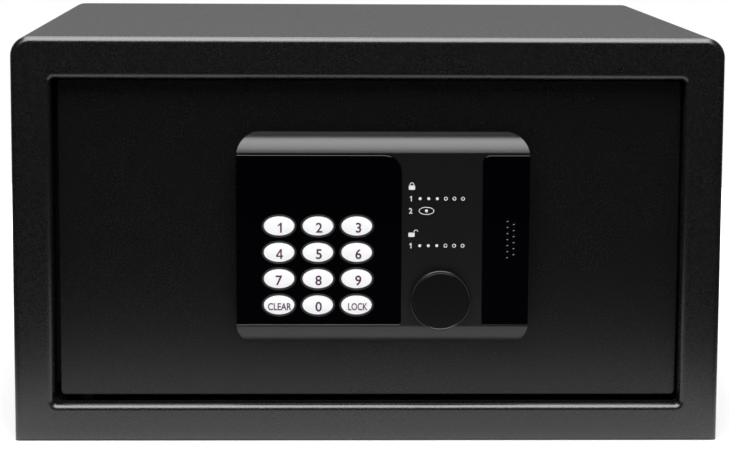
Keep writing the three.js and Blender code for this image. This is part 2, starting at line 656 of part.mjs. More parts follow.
// Geared motor: a wide gearbox with the shaft bore in front, and a narrower can behind.
function lockMotor() {
  const front = bracketBack + SEAT;
  const boreEnd = bracketBack + motor.shaftReach + RUNNING;
  const gearboxEnd = front + motor.length / 2;
  const end = front + motor.length;
  const bore = motor.shaftRadius + RUNNING;
  const profile = [
    [0, boreEnd], [bore, boreEnd], [bore, front], [motor.radius, front],
    [motor.radius, gearboxEnd], [motor.canRadius, gearboxEnd], [motor.canRadius, end],
    [motorTail.radius, end], [motorTail.radius, end + motorTail.length], [0, end + motorTail.length],
  ];
  return turned(profile, 'y', [pinionAt.x, 0, pinionAt.z], 20);
}

// Bridge that holds the motor above the pinion.
function motorBridge() {
  const left = pinionAt.x - motorBracket.width / 2;
  const right = pinionAt.x + motorBracket.width / 2;
  const bottom = pinionAt.z - motorBracket.below;
  const face = block(left, right, bracketFront, bracketBack, bottom, pinionAt.z + motorBracket.above);
  const legs = [left, right - motorBracket.sheet].map((x) => block(
    x, x + motorBracket.sheet, behindLeaf, bracketBack, bottom, bottom + motorBracket.leg,
  ));
  const shaftHole = rod(
    motor.shaftRadius + RUNNING, bracketFront - PAST, bracketBack + PAST, 'y', [pinionAt.x, 0, pinionAt.z],
  );
  return cut(join(face, ...legs), shaftHole);
}

// Side profile of the panel: a flat front that meets convex ends at a crease.
function panelSide() {
  const start = THREE.MathUtils.degToRad(90 - panelEnd.fallAngle);
  const arc = Array.from({ length: panelEnd.steps + 1 }, (_, i) => {
    const angle = start * (1 - i / panelEnd.steps);
    return [Math.cos(angle) - Math.cos(start), Math.sin(start) - Math.sin(angle)];
  });
  const [spanOut, spanDown] = arc.at(-1);
  const fall = arc.map(([out, down]) => [
    (out / spanOut) * panelEnd.height, panelFront + (down / spanDown) * (panelBack - panelFront),
  ]);
  return [
    ...fall.toReversed().map(([out, y]) => new THREE.Vector2(y, crease.top + out)),
    ...fall.map(([out, y]) => new THREE.Vector2(y, crease.bottom - out)),
  ];
}

const inlayHeight = { bottom: crease.bottom + inlay.edge, top: crease.top - inlay.edge };
const windowRect = { left: panelRect.left, right: panelRect.left + keyWindow.width, ...inlayHeight };
const stripRect = { left: panelRect.right - strip.width, right: panelRect.right, ...inlayHeight };
const windowCorners = [0, keyWindow.bottomRadius, keyWindow.topRadius, 0];
const stripCorners = [strip.bottomRadius, 0, 0, strip.topRadius];

function keyFieldRect(margin) {
  return {
    left: keyColumns[0] - key.halfWidth - keyFlange.width - margin,
    right: keyColumns[2] + key.halfWidth + keyFlange.width + margin,
    bottom: keyRows[3] - key.halfHeight - keyFlange.width - margin,
    top: keyRows[0] + key.halfHeight + keyFlange.width + margin,
  };
}

function displayRect(margin) {
  const z = keyRows[0] + display.aboveKeys;
  return around(keyColumns[1], z, display.width / 2 + margin, display.height / 2 + margin);
}

const boardRect = {
  left: panelRect.left + panel.wall + board.margin,
  right: windowRect.right,
  bottom: keyFieldRect(keyMat.margin).bottom,
  top: displayRect(display.windowMargin).top,
};

// Posts inside the panel that the circuit board sits on.
function boardPosts() {
  const from = cavityFront - PAST;
  const to = boardFront - SEAT;
  return cornersOf(shrink(boardRect, post.inset)).map(([x, z]) => (
    rod(post.radius, from, to, 'y', [x, 0, z], SMALL_SIDES)
  ));
}

// Moulded lock housing, hollow behind, with recesses for its two gloss inlays.
function lockHousing() {
  const bar = prism(panelSide(), 'x', panelRect.left - PAST, panelRect.right + PAST);
  const front = prism(outline(panelRect, panelCorner, 0, 6), 'y', panelFront - PAST, panelBack + PAST);
  const inside = shrink(panelRect, panel.wall);
  const cavity = skinned([
    { y: cavityFront, points: outline({ ...inside, ...crease }, panel.wall) },
    { y: panelBack + PAST, points: outline(inside, panelCorner - panel.wall) },
  ]);
  const recess = [inlayFront - PAST, recessFloor];
  const throughFront = [panelFront - PAST, cavityFront + PAST];
  const windowSeat = outline({ ...windowRect, left: panelRect.left - PAST }, windowCorners, SEAT);
  const stripSeat = outline({ ...stripRect, right: panelRect.right + PAST }, stripCorners, SEAT);
  const keyOpening = outline(keyFieldRect(keyField.room), keyField.room);
  const displayOpening = outline(displayRect(display.windowMargin), display.cornerRadius);
  return cut(
    join(cut(front.intersect(bar), cavity), ...boardPosts()),
    prism(windowSeat, 'y', ...recess),
    prism(stripSeat, 'y', ...recess),
    prism(keyOpening, 'y', ...throughFront),
    prism(displayOpening, 'y', ...throughFront),
    rod(spigot.radius + RUNNING, ...throughFront, 'y', [lockAt.x, 0, lockAt.z], 32),
    rod(buzzer.radius, ...throughFront, 'y', [soundAt.x, 0, soundAt.z]),
  );
}

function keypadWindow() {
  const plate = prism(outline(windowRect, windowCorners, 0, 5), 'y', inlayFront, inlayBack);
  const holes = keyRows.flatMap((z) => keyColumns.map((x) => {
    const points = ellipse(x, z, key.halfWidth + key.gap, key.halfHeight + key.gap, KEY_SIDES);
    return prism(points, 'y', inlayFront - PAST, inlayBack + PAST);
  }));
  return cut(plate, ...holes);
}

// Gloss strip with two staggered columns of sound holes.
function soundStrip() {
  const plate = prism(outline(stripRect, stripCorners), 'y', inlayFront, inlayBack);
  const holes = sound.counts.flatMap((count, column) => Array.from({ length: count }, (_, i) => {
    const x = soundAt.x + (column - 0.5) * sound.columnGap;
    const z = soundAt.z + (i - (count - 1) / 2) * sound.pitch;
    return rod(sound.radius, inlayFront - PAST, inlayBack + PAST, 'y', [x, 0, z], SMALL_SIDES);
  }));
  return cut(plate, ...holes);
}

// Crowned elliptical key with a flange that keeps it behind the window.
function keyCap(x, z) {
  const ring = (y, grow) => (
    { y, points: ellipse(x, z, key.halfWidth + grow, key.halfHeight + grow, KEY_SIDES) }
  );
  const shoulder = inlayFront - key.proud;
  return skinned([
    ring(shoulder - keyCrown.height, -keyCrown.inset),
    ring(shoulder, -keyCrown.edge),
    ring(shoulder + keyCrown.edge, 0),
    ring(keyFlangeFront, 0),
    ring(keyFlangeFront, keyFlange.width),
    ring(keyBack, keyFlange.width),
  ]);
}

// Rubber sheet with a dome behind each key.
function keyMatSheet() {
  const sheetOutline = outline(keyFieldRect(keyMat.margin), keyMat.margin);
  const sheet = prism(sheetOutline, 'y', matFront, matFront + keyMat.thickness);
  const top = matFront - dome.height;
  const foot = matFront + keyMat.thickness / 2;
  const profile = [[0, top], [dome.radius - dome.taper, top], [dome.radius, foot], [0, foot]];
  const domes = keyRows.flatMap((z) => keyColumns.map((x) => turned(profile, 'y', [x, 0, z], SMALL_SIDES)));
  return join(sheet, ...domes);
}

function circuitBoard() {
  return prism(outline(boardRect, board.cornerRadius), 'y', boardFront, boardFront + board.thickness);
}

function displayModule() {
  const back = boardFront - SEAT;
  return prism(outline(displayRect(0), display.cornerRadius), 'y', back - display.depth, back);
}

function soundBuzzer() {
  const front = cavityFront + SEAT;
  const back = front + buzzer.height;
  const profile = [
    [0, front],
    [buzzer.radius - buzzer.taper, front],
    [buzzer.radius, front + buzzer.taper],
    [buzzer.radius, back],
    [0, back],
  ];
  return turned(profile, 'y', [soundAt.x, 0, soundAt.z]);
}

// Round cap over the emergency lock: a flat face inside a rim, and a spigot that plugs into the housing.
function overrideCap() {
  const seat = panelFront - SEAT;
  const front = seat - cap.height;
  const rimInside = cap.radius - cap.rim;
  const spigotEnd = seat + spigot.length;
  const profile = [
    [0, front + cap.dish],
    [rimInside - 2 * capGroove.width, front + cap.dish],
    [rimInside - capGroove.width, front + capGroove.depth],
    [rimInside, front],
    [cap.radius - cap.edge, front],
    [cap.radius, front + cap.edge],
    [cap.radius, seat],
    [spigot.radius, seat],
    [spigot.radius, spigotEnd],
    [0, spigotEnd],
  ];
  return turned(profile, 'y', [lockAt.x, 0, lockAt.z], 32);
}

// Lock barrel with a collar before the door plate and a nut behind it.
function overrideBarrel() {
  const bore = lockPlug.radius + RUNNING;
  const collar = lock.radius + lockCollar.overhang;
  const profile = [
    [bore, barrelFront],
    [lock.radius, barrelFront],
    [lock.radius, panelBack - lockCollar.thickness],
    [collar, panelBack - lockCollar.thickness],
    [collar, panelBack],
    [lock.radius, panelBack],
    [lock.radius, barrelBack],
    [bore, barrelBack],
    [bore, barrelFront],
  ];
  const at = [lockAt.x, 0, lockAt.z];
  const nut = cut(
    rod(lock.radius + lockNut.overhang, behindLeaf, behindLeaf + lockNut.thickness, 'y', at, lockNut.sides),
    rod(bore, behindLeaf - PAST, behindLeaf + lockNut.thickness + PAST, 'y', at),
  );
  return join(turned(profile, 'y', at), nut);
}

// Turning plug with a key slot in front and a square tang for the cam behind.
function overridePlug() {
  const front = barrelFront + lockPlug.recess;
  const body = rod(lockPlug.radius, front, barrelBack + SEAT, 'y', [lockAt.x, 0, lockAt.z]);
  const tangRect = around(lockAt.x, lockAt.z, cam.tang / 2, cam.tang / 2);
  const tang = block(
    tangRect.left, tangRect.right, barrelBack, camFront + cam.thickness, tangRect.bottom, tangRect.top,
  );
  const keySlot = around(lockAt.x, lockAt.z, lockPlug.keyWidth / 2, lockPlug.keyHeight / 2);
  return cut(
    join(body, tang),
    block(keySlot.left, keySlot.right, front - PAST, front + lockPlug.keyDepth, keySlot.bottom, keySlot.top),
  );
}

// Cam that pushes the carrier's lug to draw the bolts when the key turns.
function overrideCam() {
  const back = camFront + cam.thickness;
  const boss = rod(lockPlug.radius + cam.bossWall, camFront, back, 'y', [lockAt.x, 0, lockAt.z]);
  const arm = block(
    lockAt.x - cam.halfWidth, lockAt.x + cam.halfWidth, camFront, back, lockAt.z, lockAt.z + camLength,
  );
  const hole = around(lockAt.x, lockAt.z, cam.tang / 2 + SEAT, cam.tang / 2 + SEAT);
  const square = block(hole.left, hole.right, camFront - PAST, back + PAST, hole.bottom, hole.top);
  return cut(join(boss, arm), square);
}

// Open battery box. Its flange sits behind the back cover.
function batteryTray() {
  const flangeBack = coverTop - backCover.sheet - SEAT;
  const shell = prism(outline(trayRect, trayCorner), 'y', trayFront, coverTop);
  const flange = prism(outline(trayRect, trayCorner, tray.flange), 'y', flangeBack - tray.wall, flangeBack);
  const inside = outline(shrink(trayRect, tray.wall), trayCorner - tray.wall);
  return cut(join(shell, flange), prism(inside, 'y', trayFront + tray.wall, coverTop + PAST));
}

// One cell, with every second one the other way round.
function batteryCell(i) {
  const z = trayMiddle.z + (i - (battery.count - 1) / 2) * battery.pitch;
  const y = trayFront + tray.wall + SEAT + battery.radius;
  const half = battery.length / 2;
  const way = i % 2 ? -1 : 1;
  const canEnd = half - terminal.height;
  const profile = [
    [0, -half],
    [battery.radius - battery.bevel, -half],
    [battery.radius, battery.bevel - half],
    [battery.radius, canEnd - terminal.shoulder],
    [terminal.radius, canEnd],
    [terminal.radius, half],
    [0, half],
  ].map(([r, h]) => [r, way * h]);
  return turned(profile, 'x', [trayMiddle.x, y, z]);
}

// Clip-on lid with finger grips, and a tongue that fits inside the box.
function batteryCover() {
  const front = coverTop + SEAT;
  const back = front + batteryLid.thickness;
  const rect = shrink(trayRect, -batteryLid.overlap);
  const lid = skinned([
    { y: front, points: outline(rect, trayCorner) },
    { y: back - batteryLid.bevel, points: outline(rect, trayCorner) },
    { y: back, points: outline(rect, trayCorner, -batteryLid.bevel) },
  ]);
  const tongueOutline = outline(shrink(trayRect, tray.wall + SEAT), trayCorner - tray.wall);
  const tongue = prism(tongueOutline, 'y', front - batteryLid.tongue, front + batteryLid.bevel);
  const gripHeights = [trayMiddle.z - grip.height / 2, trayMiddle.z + grip.height / 2];
  const grips = Array.from({ length: grip.count }, (_, i) => {
    const left = rect.left + grip.inset + i * grip.pitch;
    return block(left, left + grip.width, back - grip.depth, back + PAST, ...gripHeights);
  });
  return cut(join(lid, tongue), ...grips);
}

const KEYPAD = [
  ['key_1', 'key_2', 'key_3'],
  ['key_4', 'key_5', 'key_6'],
  ['key_7', 'key_8', 'key_9'],
  ['key_clear', 'key_0', 'key_lock'],
];

function gather(...members) {
  const group = new THREE.Group();
  group.add(...members);
  return group;
}

function steelCabinet() {
  return gather(
    piece('cabinet_shell', cabinetShell(), finishes.powderCoat),
    piece('floor_plate', floorPlate(), finishes.insidePaint),
    piece('rear_panel', rearPanel(), finishes.powderCoat),
    piece('door_jamb', doorJamb(), finishes.insidePaint),
    piece('bolt_keeper', boltKeeper(), finishes.plainSteel),
    piece('hinge_guard', hingeGuard(), finishes.insidePaint),
    piece('hinge_pin_lower', hingePin(-1), finishes.plainSteel),
    piece('hinge_pin_upper', hingePin(1), finishes.plainSteel),
    piece('hinge_bush_lower', hingeBush(-1), finishes.blackNylon),
    piece('hinge_bush_upper', hingeBush(1), finishes.blackNylon),
    piece('floor_plug_left', anchorPlug(-1, 'z'), finishes.blackRubber),
    piece('floor_plug_right', anchorPlug(1, 'z'), finishes.blackRubber),
    piece('rear_plug_left', anchorPlug(-1, 'y'), finishes.blackRubber),
    piece('rear_plug_right', anchorPlug(1, 'y'), finishes.blackRubber),
    piece('floor_mat', floorMat(), finishes.greyFelt),
  );
}

function doorLeaf() {
  return gather(
    piece('door_plate', doorPlate(), finishes.powderCoat),
    piece('door_pan', doorPan(), finishes.insidePaint),
    piece('door_back_cover', doorBackCover(), finishes.coverPlastic),
    ...coverScrewPlaces().map((at, i) => piece(`cover_screw_${i + 1}`, coverScrew(at), finishes.plainSteel)),
  );
}

function boltwork() {
  const [leftmost, rightmost] = studPlaces().toReversed();
  return gather(
    piece('bolt_carrier', boltCarrier(), finishes.plainSteel),
    piece('locking_bolt_lower', lockingBolt(boltHeights[0]), finishes.chromedSteel),
    piece('locking_bolt_upper', lockingBolt(boltHeights[1]), finishes.chromedSteel),
    piece('bolt_guide', boltGuideBracket(), finishes.plainSteel),
    piece('guide_stud_left', guideStud(leftmost), finishes.plainSteel),
    piece('guide_stud_right', guideStud(rightmost), finishes.plainSteel),
    piece('drive_pinion', drivePinion(), finishes.brass),
    piece('lock_motor', lockMotor(), finishes.plainSteel),
    piece('motor_bracket', motorBridge(), finishes.plainSteel),
  );
}

function codePanel() {
  return gather(
    piece('lock_housing', lockHousing(), finishes.panelPlastic),
    piece('keypad_window', keypadWindow(), finishes.glossBlack),
    piece('sound_strip', soundStrip(), finishes.glossBlack),
    piece('key_mat', keyMatSheet(), finishes.blackRubber),
    piece('circuit_board', circuitBoard(), finishes.boardGreen),
    piece('display_module', displayModule(), finishes.glossBlack),
    piece('buzzer', soundBuzzer(), finishes.blackRubber),
    ...KEYPAD.flatMap((names, row) => names.map((name, column) => (
      piece(name, keyCap(keyColumns[column], keyRows[row]), finishes.keyWhite)
    ))),
  );
}

function emergencyLock() {
  return gather(
    piece('override_cap', overrideCap(), finishes.capPlastic),
    piece('override_barrel', overrideBarrel(), finishes.chromedSteel),
    piece('override_plug', overridePlug(), finishes.brass),
    piece('override_cam', overrideCam(), finishes.plainSteel),
  );
}

function batteryBox() {
  const cells = Array.from({ length: battery.count }, (_, i) => (
    piece(`battery_cell_${i + 1}`, batteryCell(i), finishes.cellSleeve)
  ));
  return gather(
    piece('battery_tray', batteryTray(), finishes.coverPlastic),
    piece('battery_cover', batteryCover(), finishes.coverPlastic),
    ...cells,
  );
}

const lockingDoor = gather(doorLeaf(), boltwork(), codePanel(), emergencyLock(), batteryBox());
const safe = gather(steelCabinet(), lockingDoor);
safe.position.y = -cabinet.depth / 2;

export default safe;
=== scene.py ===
# The looks of an electronic laptop safe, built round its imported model. Front towards -Y, up +Z.
# Sizes are in millimetres. They turn into metres where a mesh is made.
import math
from collections import namedtuple

import bmesh
import bpy
from mathutils import Matrix, Vector


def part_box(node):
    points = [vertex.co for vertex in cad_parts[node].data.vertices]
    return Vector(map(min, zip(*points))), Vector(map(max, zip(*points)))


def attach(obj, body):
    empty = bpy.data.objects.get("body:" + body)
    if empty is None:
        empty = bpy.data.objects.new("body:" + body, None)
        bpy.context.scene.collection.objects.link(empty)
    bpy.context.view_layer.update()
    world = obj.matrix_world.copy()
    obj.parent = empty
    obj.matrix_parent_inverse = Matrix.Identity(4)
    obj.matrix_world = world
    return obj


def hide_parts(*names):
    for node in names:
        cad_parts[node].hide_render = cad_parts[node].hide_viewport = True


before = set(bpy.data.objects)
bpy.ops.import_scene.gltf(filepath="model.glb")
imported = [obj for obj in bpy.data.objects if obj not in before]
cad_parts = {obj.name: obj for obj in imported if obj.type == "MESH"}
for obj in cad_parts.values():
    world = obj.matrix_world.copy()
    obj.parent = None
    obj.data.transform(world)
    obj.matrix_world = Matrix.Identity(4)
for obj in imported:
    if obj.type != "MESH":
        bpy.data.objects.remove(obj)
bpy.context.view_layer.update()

scene = bpy.context.scene

MM = 0.001
PAST = 1.0  # how far a cutting tool runs beyond what it cuts
SEAM = 0.2  # between two surfaces that look joined
SMOOTH_LIMIT = math.radians(18)  # a sharper edge than this stays crisp
CORNER_STEPS = 10
ROUND_SIDES = 64
FACES_DOWN = -0.3  # the highest z of a face's normal where the face counts as a lower edge

# Driving sizes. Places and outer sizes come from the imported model's nodes.
JAMB_SHEET = 2.0
cabinet_sizes = {
    "sheet": 2.0, "top_radius": 12.0, "edge_radius": 4.0, "foot_radius": 1.2, "lip": 10.0, "weld": 1.5,
}
opening_sizes = {"roll": 4.0, "corner": 2.0, "step": 0.8}
felt_sizes = {"edge": 0.8, "corner": 8.0, "plug_room": 12.0}
panel_sizes = {"corner": 14.0, "end_height": 12.35, "fall": math.radians(25), "wall": 2.5}
inlay_sizes = {"backing": 2.0, "gap": 0.3, "edge_round": 0.45}
window_corners = (0.0, 1.5, 10.6, 0.0)
strip_corners = (1.0, 0.0, 0.0, 4.5)
sound_sizes = {
    "pitch": 3.7, "columns": 3.75, "radius": 1.0, "bevel": 0.35, "counts": (7, 6),
    "from_right": 11.4, "above_middle": 1.8,
}
key_sizes = {
    "flange": 1.3, "flange_gap": 0.4, "crown": 0.55, "shoulder": 0.35, "gap": 0.3,
    "room": 2.1, "room_corner": 1.0,
}
crown_shares = (0.2, 0.4, 0.55, 0.7, 0.8, 0.88, 0.94)  # the crown's rings, in parts of the key's size
bezel_sizes = {"width": 1.0, "depth": 0.5, "cover": 0.15, "edge": 0.03}
legend_sizes = {"digit": 6.1, "word": 4.5, "drop": 0.85, "ink": 0.03, "lift": 0.03, "slice": 0.8}
legend_weights = {"digit": 0.014, "word": 0.016}  # what the strokes gain, in parts of the letters' body
legend_shifts = {
    "1": 0.4, "2": 0.7, "3": 1.0, "4": 0.3, "5": 0.6, "6": 1.0,
    "8": 0.4, "9": 1.0, "0": 0.5, "clear": 0.4, "lock": 0.8,
}
legend_widths = {"clear": 14.2, "lock": 11.8}
mark_sizes = {"thick": 0.03, "sunk": 0.05, "digit": 3.3, "dot": 0.9, "hoop": 1.15, "line": 0.42}
mark_key = (4.7, 2.4)  # half sizes of the pictogram of a key
mark_places = {"left": 24.4, "top": 157.2, "row": 5.75, "step": 5.2}
mark_columns = {"padlock": 1.9, "number": 1.2, "code": 6.9, "key": 10.8}
mark_rows = {"close": 0, "open": 5, "first": 1.3, "second": 2.6}
padlock_sizes = {"half_width": 1.9, "below": 2.1, "above": 0.5, "corner": 0.35, "open_shift": 2.6}
bow_sizes = {"inside": 0.9, "outside": 1.35, "middle": 1.0, "leg_foot": 0.2, "leg_top": 1.02}
cap_sizes = {"bead": 1.2, "sunk": 0.3, "groove": 0.3, "spigot": 13.0, "spigot_length": 4.8, "gap": 0.3}
bolt_sizes = {"nose": 1.6, "chamfer": 0.5}
screw_sizes = {"head": 1.4, "dome": 0.9, "shank": 1.6, "point": 1.0}
recess_sizes = {"depth": 0.9, "half_slot": 0.36, "reach": 1.75}

# The photograph's camera, and the studio. The floor's and the lamps' places are in metres.
camera_facts = {
    "place": (-43.1, -1683.9, 340.1), "yaw": 1.590, "pitch": 7.948, "roll": 0.290,
    "focal_px": 2476.1, "image_px": 730.0, "sensor": 36.0,
}
backdrop_light = {"from": 0.0, "to": 0.9, "room": 0.006, "lit": 0.2, "mirrored": 0.1}
floor_sizes = {"reach": 1.15, "pale_from": 0.45, "pale_to": 0.95, "full": 0.02, "gone": 0.33}
# A glow on the floor near the foot, seen only in reflections: painted reflection.
foot_glow = {"contact": 0.003, "end": 0.03, "strength": 0.35}
floor_light = {"colour": 0.8, "dimmed": 0.22, "left": 0.008, "middle": 0.25, "rim": 0.7}
lamps = {
    "high_front": {"place": (-0.1, -1.3, 1.54), "aim": (-0.1, -0.2, 0.18), "size": (1.9, 0.84), "power": 25},
    "overhead": {"place": (0.0, -0.53, 1.9), "aim": (0.0, -0.53, 0.2), "size": (1.9, 1.0), "power": 33},
    "high_back": {"place": (0.0, 0.75, 1.9), "aim": (0.0, 0.75, 0.2), "size": (1.9, 1.6), "power": 28},
}


# Places

Rect = namedtuple("Rect", "left right bottom top")


def node_rect(node):
    """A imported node's front outline, as a rectangle."""
    low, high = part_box(node)
    return Rect(low.x / MM, high.x / MM, low.z / MM, high.z / MM)


def node_depths(node):
    """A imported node's front and back, along y."""
    low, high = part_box(node)
    return low.y / MM, high.y / MM


def grown(rect, by):
    return Rect(rect.left - by, rect.right + by, rect.bottom - by, rect.top + by)


def centre(rect):
    return (rect.left + rect.right) / 2, (rect.bottom + rect.top) / 2


# Outlines and solids

def arc(centre_x, centre_z, radius, start, steps, sweep=90):
    """Points on an arc, counter-clockwise, with angles in degrees."""
    points = []
    for step in range(steps + 1):
        angle = math.radians(start + sweep * step / steps)
        points.append((centre_x + radius * math.cos(angle), centre_z + radius * math.sin(angle)))
    return points


def outline(rect, radii, steps=CORNER_STEPS):
    """A rectangle with round corners: one radius, or four from the lower left, counter-clockwise."""
    corners = radii if isinstance(radii, tuple) else (radii,) * 4
    low_left, low_right, high_right, high_left = [max(radius, 0.0) for radius in corners]
    return [
        *arc(rect.left + low_left, rect.bottom + low_left, low_left, 180, steps),
        *arc(rect.right - low_right, rect.bottom + low_right, low_right, 270, steps),
        *arc(rect.right - high_right, rect.top - high_right, high_right, 0, steps),
        *arc(rect.left + high_left, rect.top - high_left, high_left, 90, steps),
    ]


def turn_angles(count):
    """Equal steps round a full turn."""
    return [2 * math.pi * step / count for step in range(count)]


def ellipse(x, z, half_width, half_height, sides=ROUND_SIDES):
    return [(x + half_width * math.cos(a), z + half_height * math.sin(a)) for a in turn_angles(sides)]


def quarter_round(radius, steps=6):
    """Steps of (inset, depth) from the front of a rounded edge to its side."""
    angles = [math.pi / 2 * step / steps for step in range(steps + 1)]
    return [(radius * (1 - math.sin(a)), radius * (1 - math.cos(a))) for a in angles]


def closed_mesh(rings, caps=True):
    """Faces between rings of equally many points, closed at both ends, in metres."""
    shape = bmesh.new()
    rows = [[shape.verts.new(Vector(point) * MM) for point in ring] for ring in rings]
    for near, far in zip(rows, rows[1:]):
        for i in range(len(near)):
            after = (i + 1) % len(near)
            shape.faces.new((near[i], near[after], far[after], far[i]))
    if caps:
        shape.faces.new(rows[0])
        shape.faces.new(rows[-1])
    return cleaned(shape)


def cleaned(shape):
    """A bmesh as a mesh, with its doubles merged and its faces outwards."""
    bmesh.ops.remove_doubles(shape, verts=shape.verts, dist=1e-6)
    bmesh.ops.dissolve_degenerate(shape, edges=shape.edges, dist=1e-7)
    bmesh.ops.recalc_face_normals(shape, faces=shape.faces)
    mesh = bpy.data.meshes.new("shape")
    shape.to_mesh(mesh)
    shape.free()
    return mesh


def skinned(levels, caps=True):
    """A solid over front outlines at rising depths, or a ring where its levels come back to the first."""
    return closed_mesh([[(x, y, z) for x, z in points] for y, points in levels], caps)


def prism(points, front, back):
    return skinned([(front, points), (back, points)])


def bar(profile, left, right):
    """A solid along x. Its profile is drawn in (y, z)."""
    return closed_mesh([[(x, y, z) for y, z in profile] for x in (left, right)])


def plain_outline(rect):
    return outline(rect, 0.0, steps=1)


def block(rect, front, back):
    return prism(plain_outline(rect), front, back)


AXES = {
    "x": lambda r, h, c, s: (h, r * c, r * s),
    "y": lambda r, h, c, s: (r * c, h, r * s),
    "z": lambda r, h, c, s: (r * c, r * s, h),
}


def turned(profile, axis, at, sides=ROUND_SIDES):
    """A profile of (radius, height) turned about an axis through a point."""
    turn = [(math.cos(a), math.sin(a)) for a in turn_angles(sides)]
    rings = []
    for radius, height in profile:
        rings.append([Vector(AXES[axis](radius, height, *way)) + Vector(at) for way in turn])
    return closed_mesh(rings, caps=profile[0][0] > 0)


def rod(radius, start, end):
    """The profile of a plain cylinder, to be turned."""
    return [(0.0, start), (radius, start), (radius, end), (0.0, end)]


def shown(data, name):
    """An object that holds a mesh, a curve, a lamp or a camera, linked to the scene."""
    holder = bpy.data.objects.new(name, data)
    scene.collection.objects.link(holder)
    return holder


def evaluated_mesh(holder):
    """What an object's modifiers make of its mesh. The object itself goes."""
    graph = bpy.context.evaluated_depsgraph_get()
    made = bpy.data.meshes.new_from_object(holder.evaluated_get(graph), depsgraph=graph)
    bpy.data.objects.remove(holder)
    return made


def combined(operation, base, tools):
    body = shown(base, "work")
    cutters = [shown(tool, "tool") for tool in tools]
    for cutter in cutters:
        step = body.modifiers.new("step", "BOOLEAN")
        step.operation = operation
        step.solver = "EXACT"
        step.object = cutter
    made = evaluated_mesh(body)
    for cutter in cutters:
        bpy.data.objects.remove(cutter)
    return made


def cut(base, *tools):
    return combined("DIFFERENCE", base, tools)


def join(base, *others):
    return combined("UNION", base, others)


def common(base, other):
    return combined("INTERSECT", base, [other])


# Node trees. A Mix node has sockets of one name for each kind of value: these are its colour ones.
MIX_AMOUNT, MIX_FIRST, MIX_SECOND, MIX_RESULT = 0, 6, 7, 2


class Wire:
    """An output socket, so that maths on it reads as an ordinary expression."""

    def __init__(self, net, socket):
        self.net = net
        self.socket = socket

    def maths(self, operation, first, second):
        node = self.net.add("ShaderNodeMath", {"operation": operation}, {0: first, 1: second})
        return Wire(self.net, node.outputs[0])

    def __add__(self, other):
        return self.maths("ADD", self, other)

    def __radd__(self, other):
        return self.maths("ADD", other, self)

    def __sub__(self, other):
        return self.maths("SUBTRACT", self, other)

    def __rsub__(self, other):
        return self.maths("SUBTRACT", other, self)

    def __mul__(self, other):
        return self.maths("MULTIPLY", self, other)

    def __rmul__(self, other):
        return self.maths("MULTIPLY", other, self)

    def __gt__(self, other):
        return self.maths("GREATER_THAN", self, other)


class Net:
    """A node tree with one way to add nodes: settings first, then values or links."""

    def __init__(self, tree):
        self.tree = tree

    def add(self, kind, settings=None, values=None):
        node = self.tree.nodes.new(kind)
        for key, value in (settings or {}).items():
            setattr(node, key, value)
        for key, value in (values or {}).items():
            self.feed(node.inputs[key], value)
        return node

    def feed(self, socket, value):
        """Links a wire to a socket, or writes a plain value on it."""
        if isinstance(value, Wire):
            self.tree.links.new(value.socket, socket)
        elif isinstance(value, tuple) and socket.type == "RGBA":
            socket.default_value = (*value, 1.0)
        else:
            socket.default_value = value

    def wire(self, kind, output, settings=None, values=None):
        return Wire(self, self.add(kind, settings, values).outputs[output])

    def smooth_step(self, value, low, high, start=0.0, end=1.0):
        """Start below low, end above high, and a smooth change between."""
        values = {"Value": value, "From Min": low, "From Max": high, "To Min": start, "To Max": end}
        return self.wire("ShaderNodeMapRange", "Result", {"interpolation_type": "SMOOTHSTEP"}, values)


class Finish(Net):
    """A surface: the material, its Principled shader and textures in object space. Its plain colour and
    roughness are what is left where a viewer can't follow the nodes."""

    def __init__(self, name, colour, roughness, **steady):
        self.material = bpy.data.materials.new(name)
        self.material.use_nodes = True
        super().__init__(self.material.node_tree)
        self.shader = self.tree.nodes["Principled BSDF"]
        self.place = self.wire("ShaderNodeTexCoord", "Object")
        self.set("Base Color", colour)
        self.set("Roughness", roughness)
        for key, value in steady.items():
            self.set(key.replace("_", " ").title().replace("Ior", "IOR"), value)

    def set(self, socket, value):
        self.feed(self.shader.inputs[socket], value)

    def stretched(self, scales):
        return self.wire("ShaderNodeMapping", "Vector", None, {"Vector": self.place, "Scale": scales})

    def noise(self, size, detail=2.0, stretch=None, rough=0.5):
        """Soft noise from 0 to 1 with patches of about this size, in millimetres."""
        place = self.stretched(stretch) if stretch else self.place
        values = {"Vector": place, "Scale": 1 / (size * MM), "Detail": detail, "Roughness": rough}
        return self.wire("ShaderNodeTexNoise", "Fac", None, values)

    def cells(self, size):
        """Distance from the nearest of scattered points, for a leather-like grain."""
        values = {"Vector": self.place, "Scale": 1 / (size * MM)}
        return self.wire("ShaderNodeTexVoronoi", "Distance", None, values)

    def tint(self, amount, first, second):
        """A base colour between two, by a value from 0 to 1."""
        values = {MIX_AMOUNT: amount, MIX_FIRST: first, MIX_SECOND: second}
        self.set("Base Color", self.wire("ShaderNodeMix", MIX_RESULT, {"data_type": "RGBA"}, values))

    def relief(self, height, depth):
        """Raised where height is 1, by this depth in millimetres."""
        bump = self.wire("ShaderNodeBump", "Normal", None, {"Height": height, "Distance": depth * MM})
        self.set("Normal", bump)


# Finishes

def powder_coat(name, full, shine, smoothest, bare, covered):
    """Satin black powder: a fine pebbled skin, darker in the pits where the powder melted thin."""
    coat = Finish(name, full, smoothest, specular_ior_level=shine, ior=1.6)
    pebble = coat.noise(0.5, detail=3)
    speckle = coat.noise(0.9, detail=1)
    drift = coat.noise(60)
    coat.tint(coat.smooth_step(speckle, bare, covered), (0.0, 0.0, 0.0), full)
    coat.set("Roughness", smoothest + 0.03 * drift + 0.06 * speckle)
    coat.relief(0.5 * pebble + 0.5 * speckle, 0.08)
    return coat.material


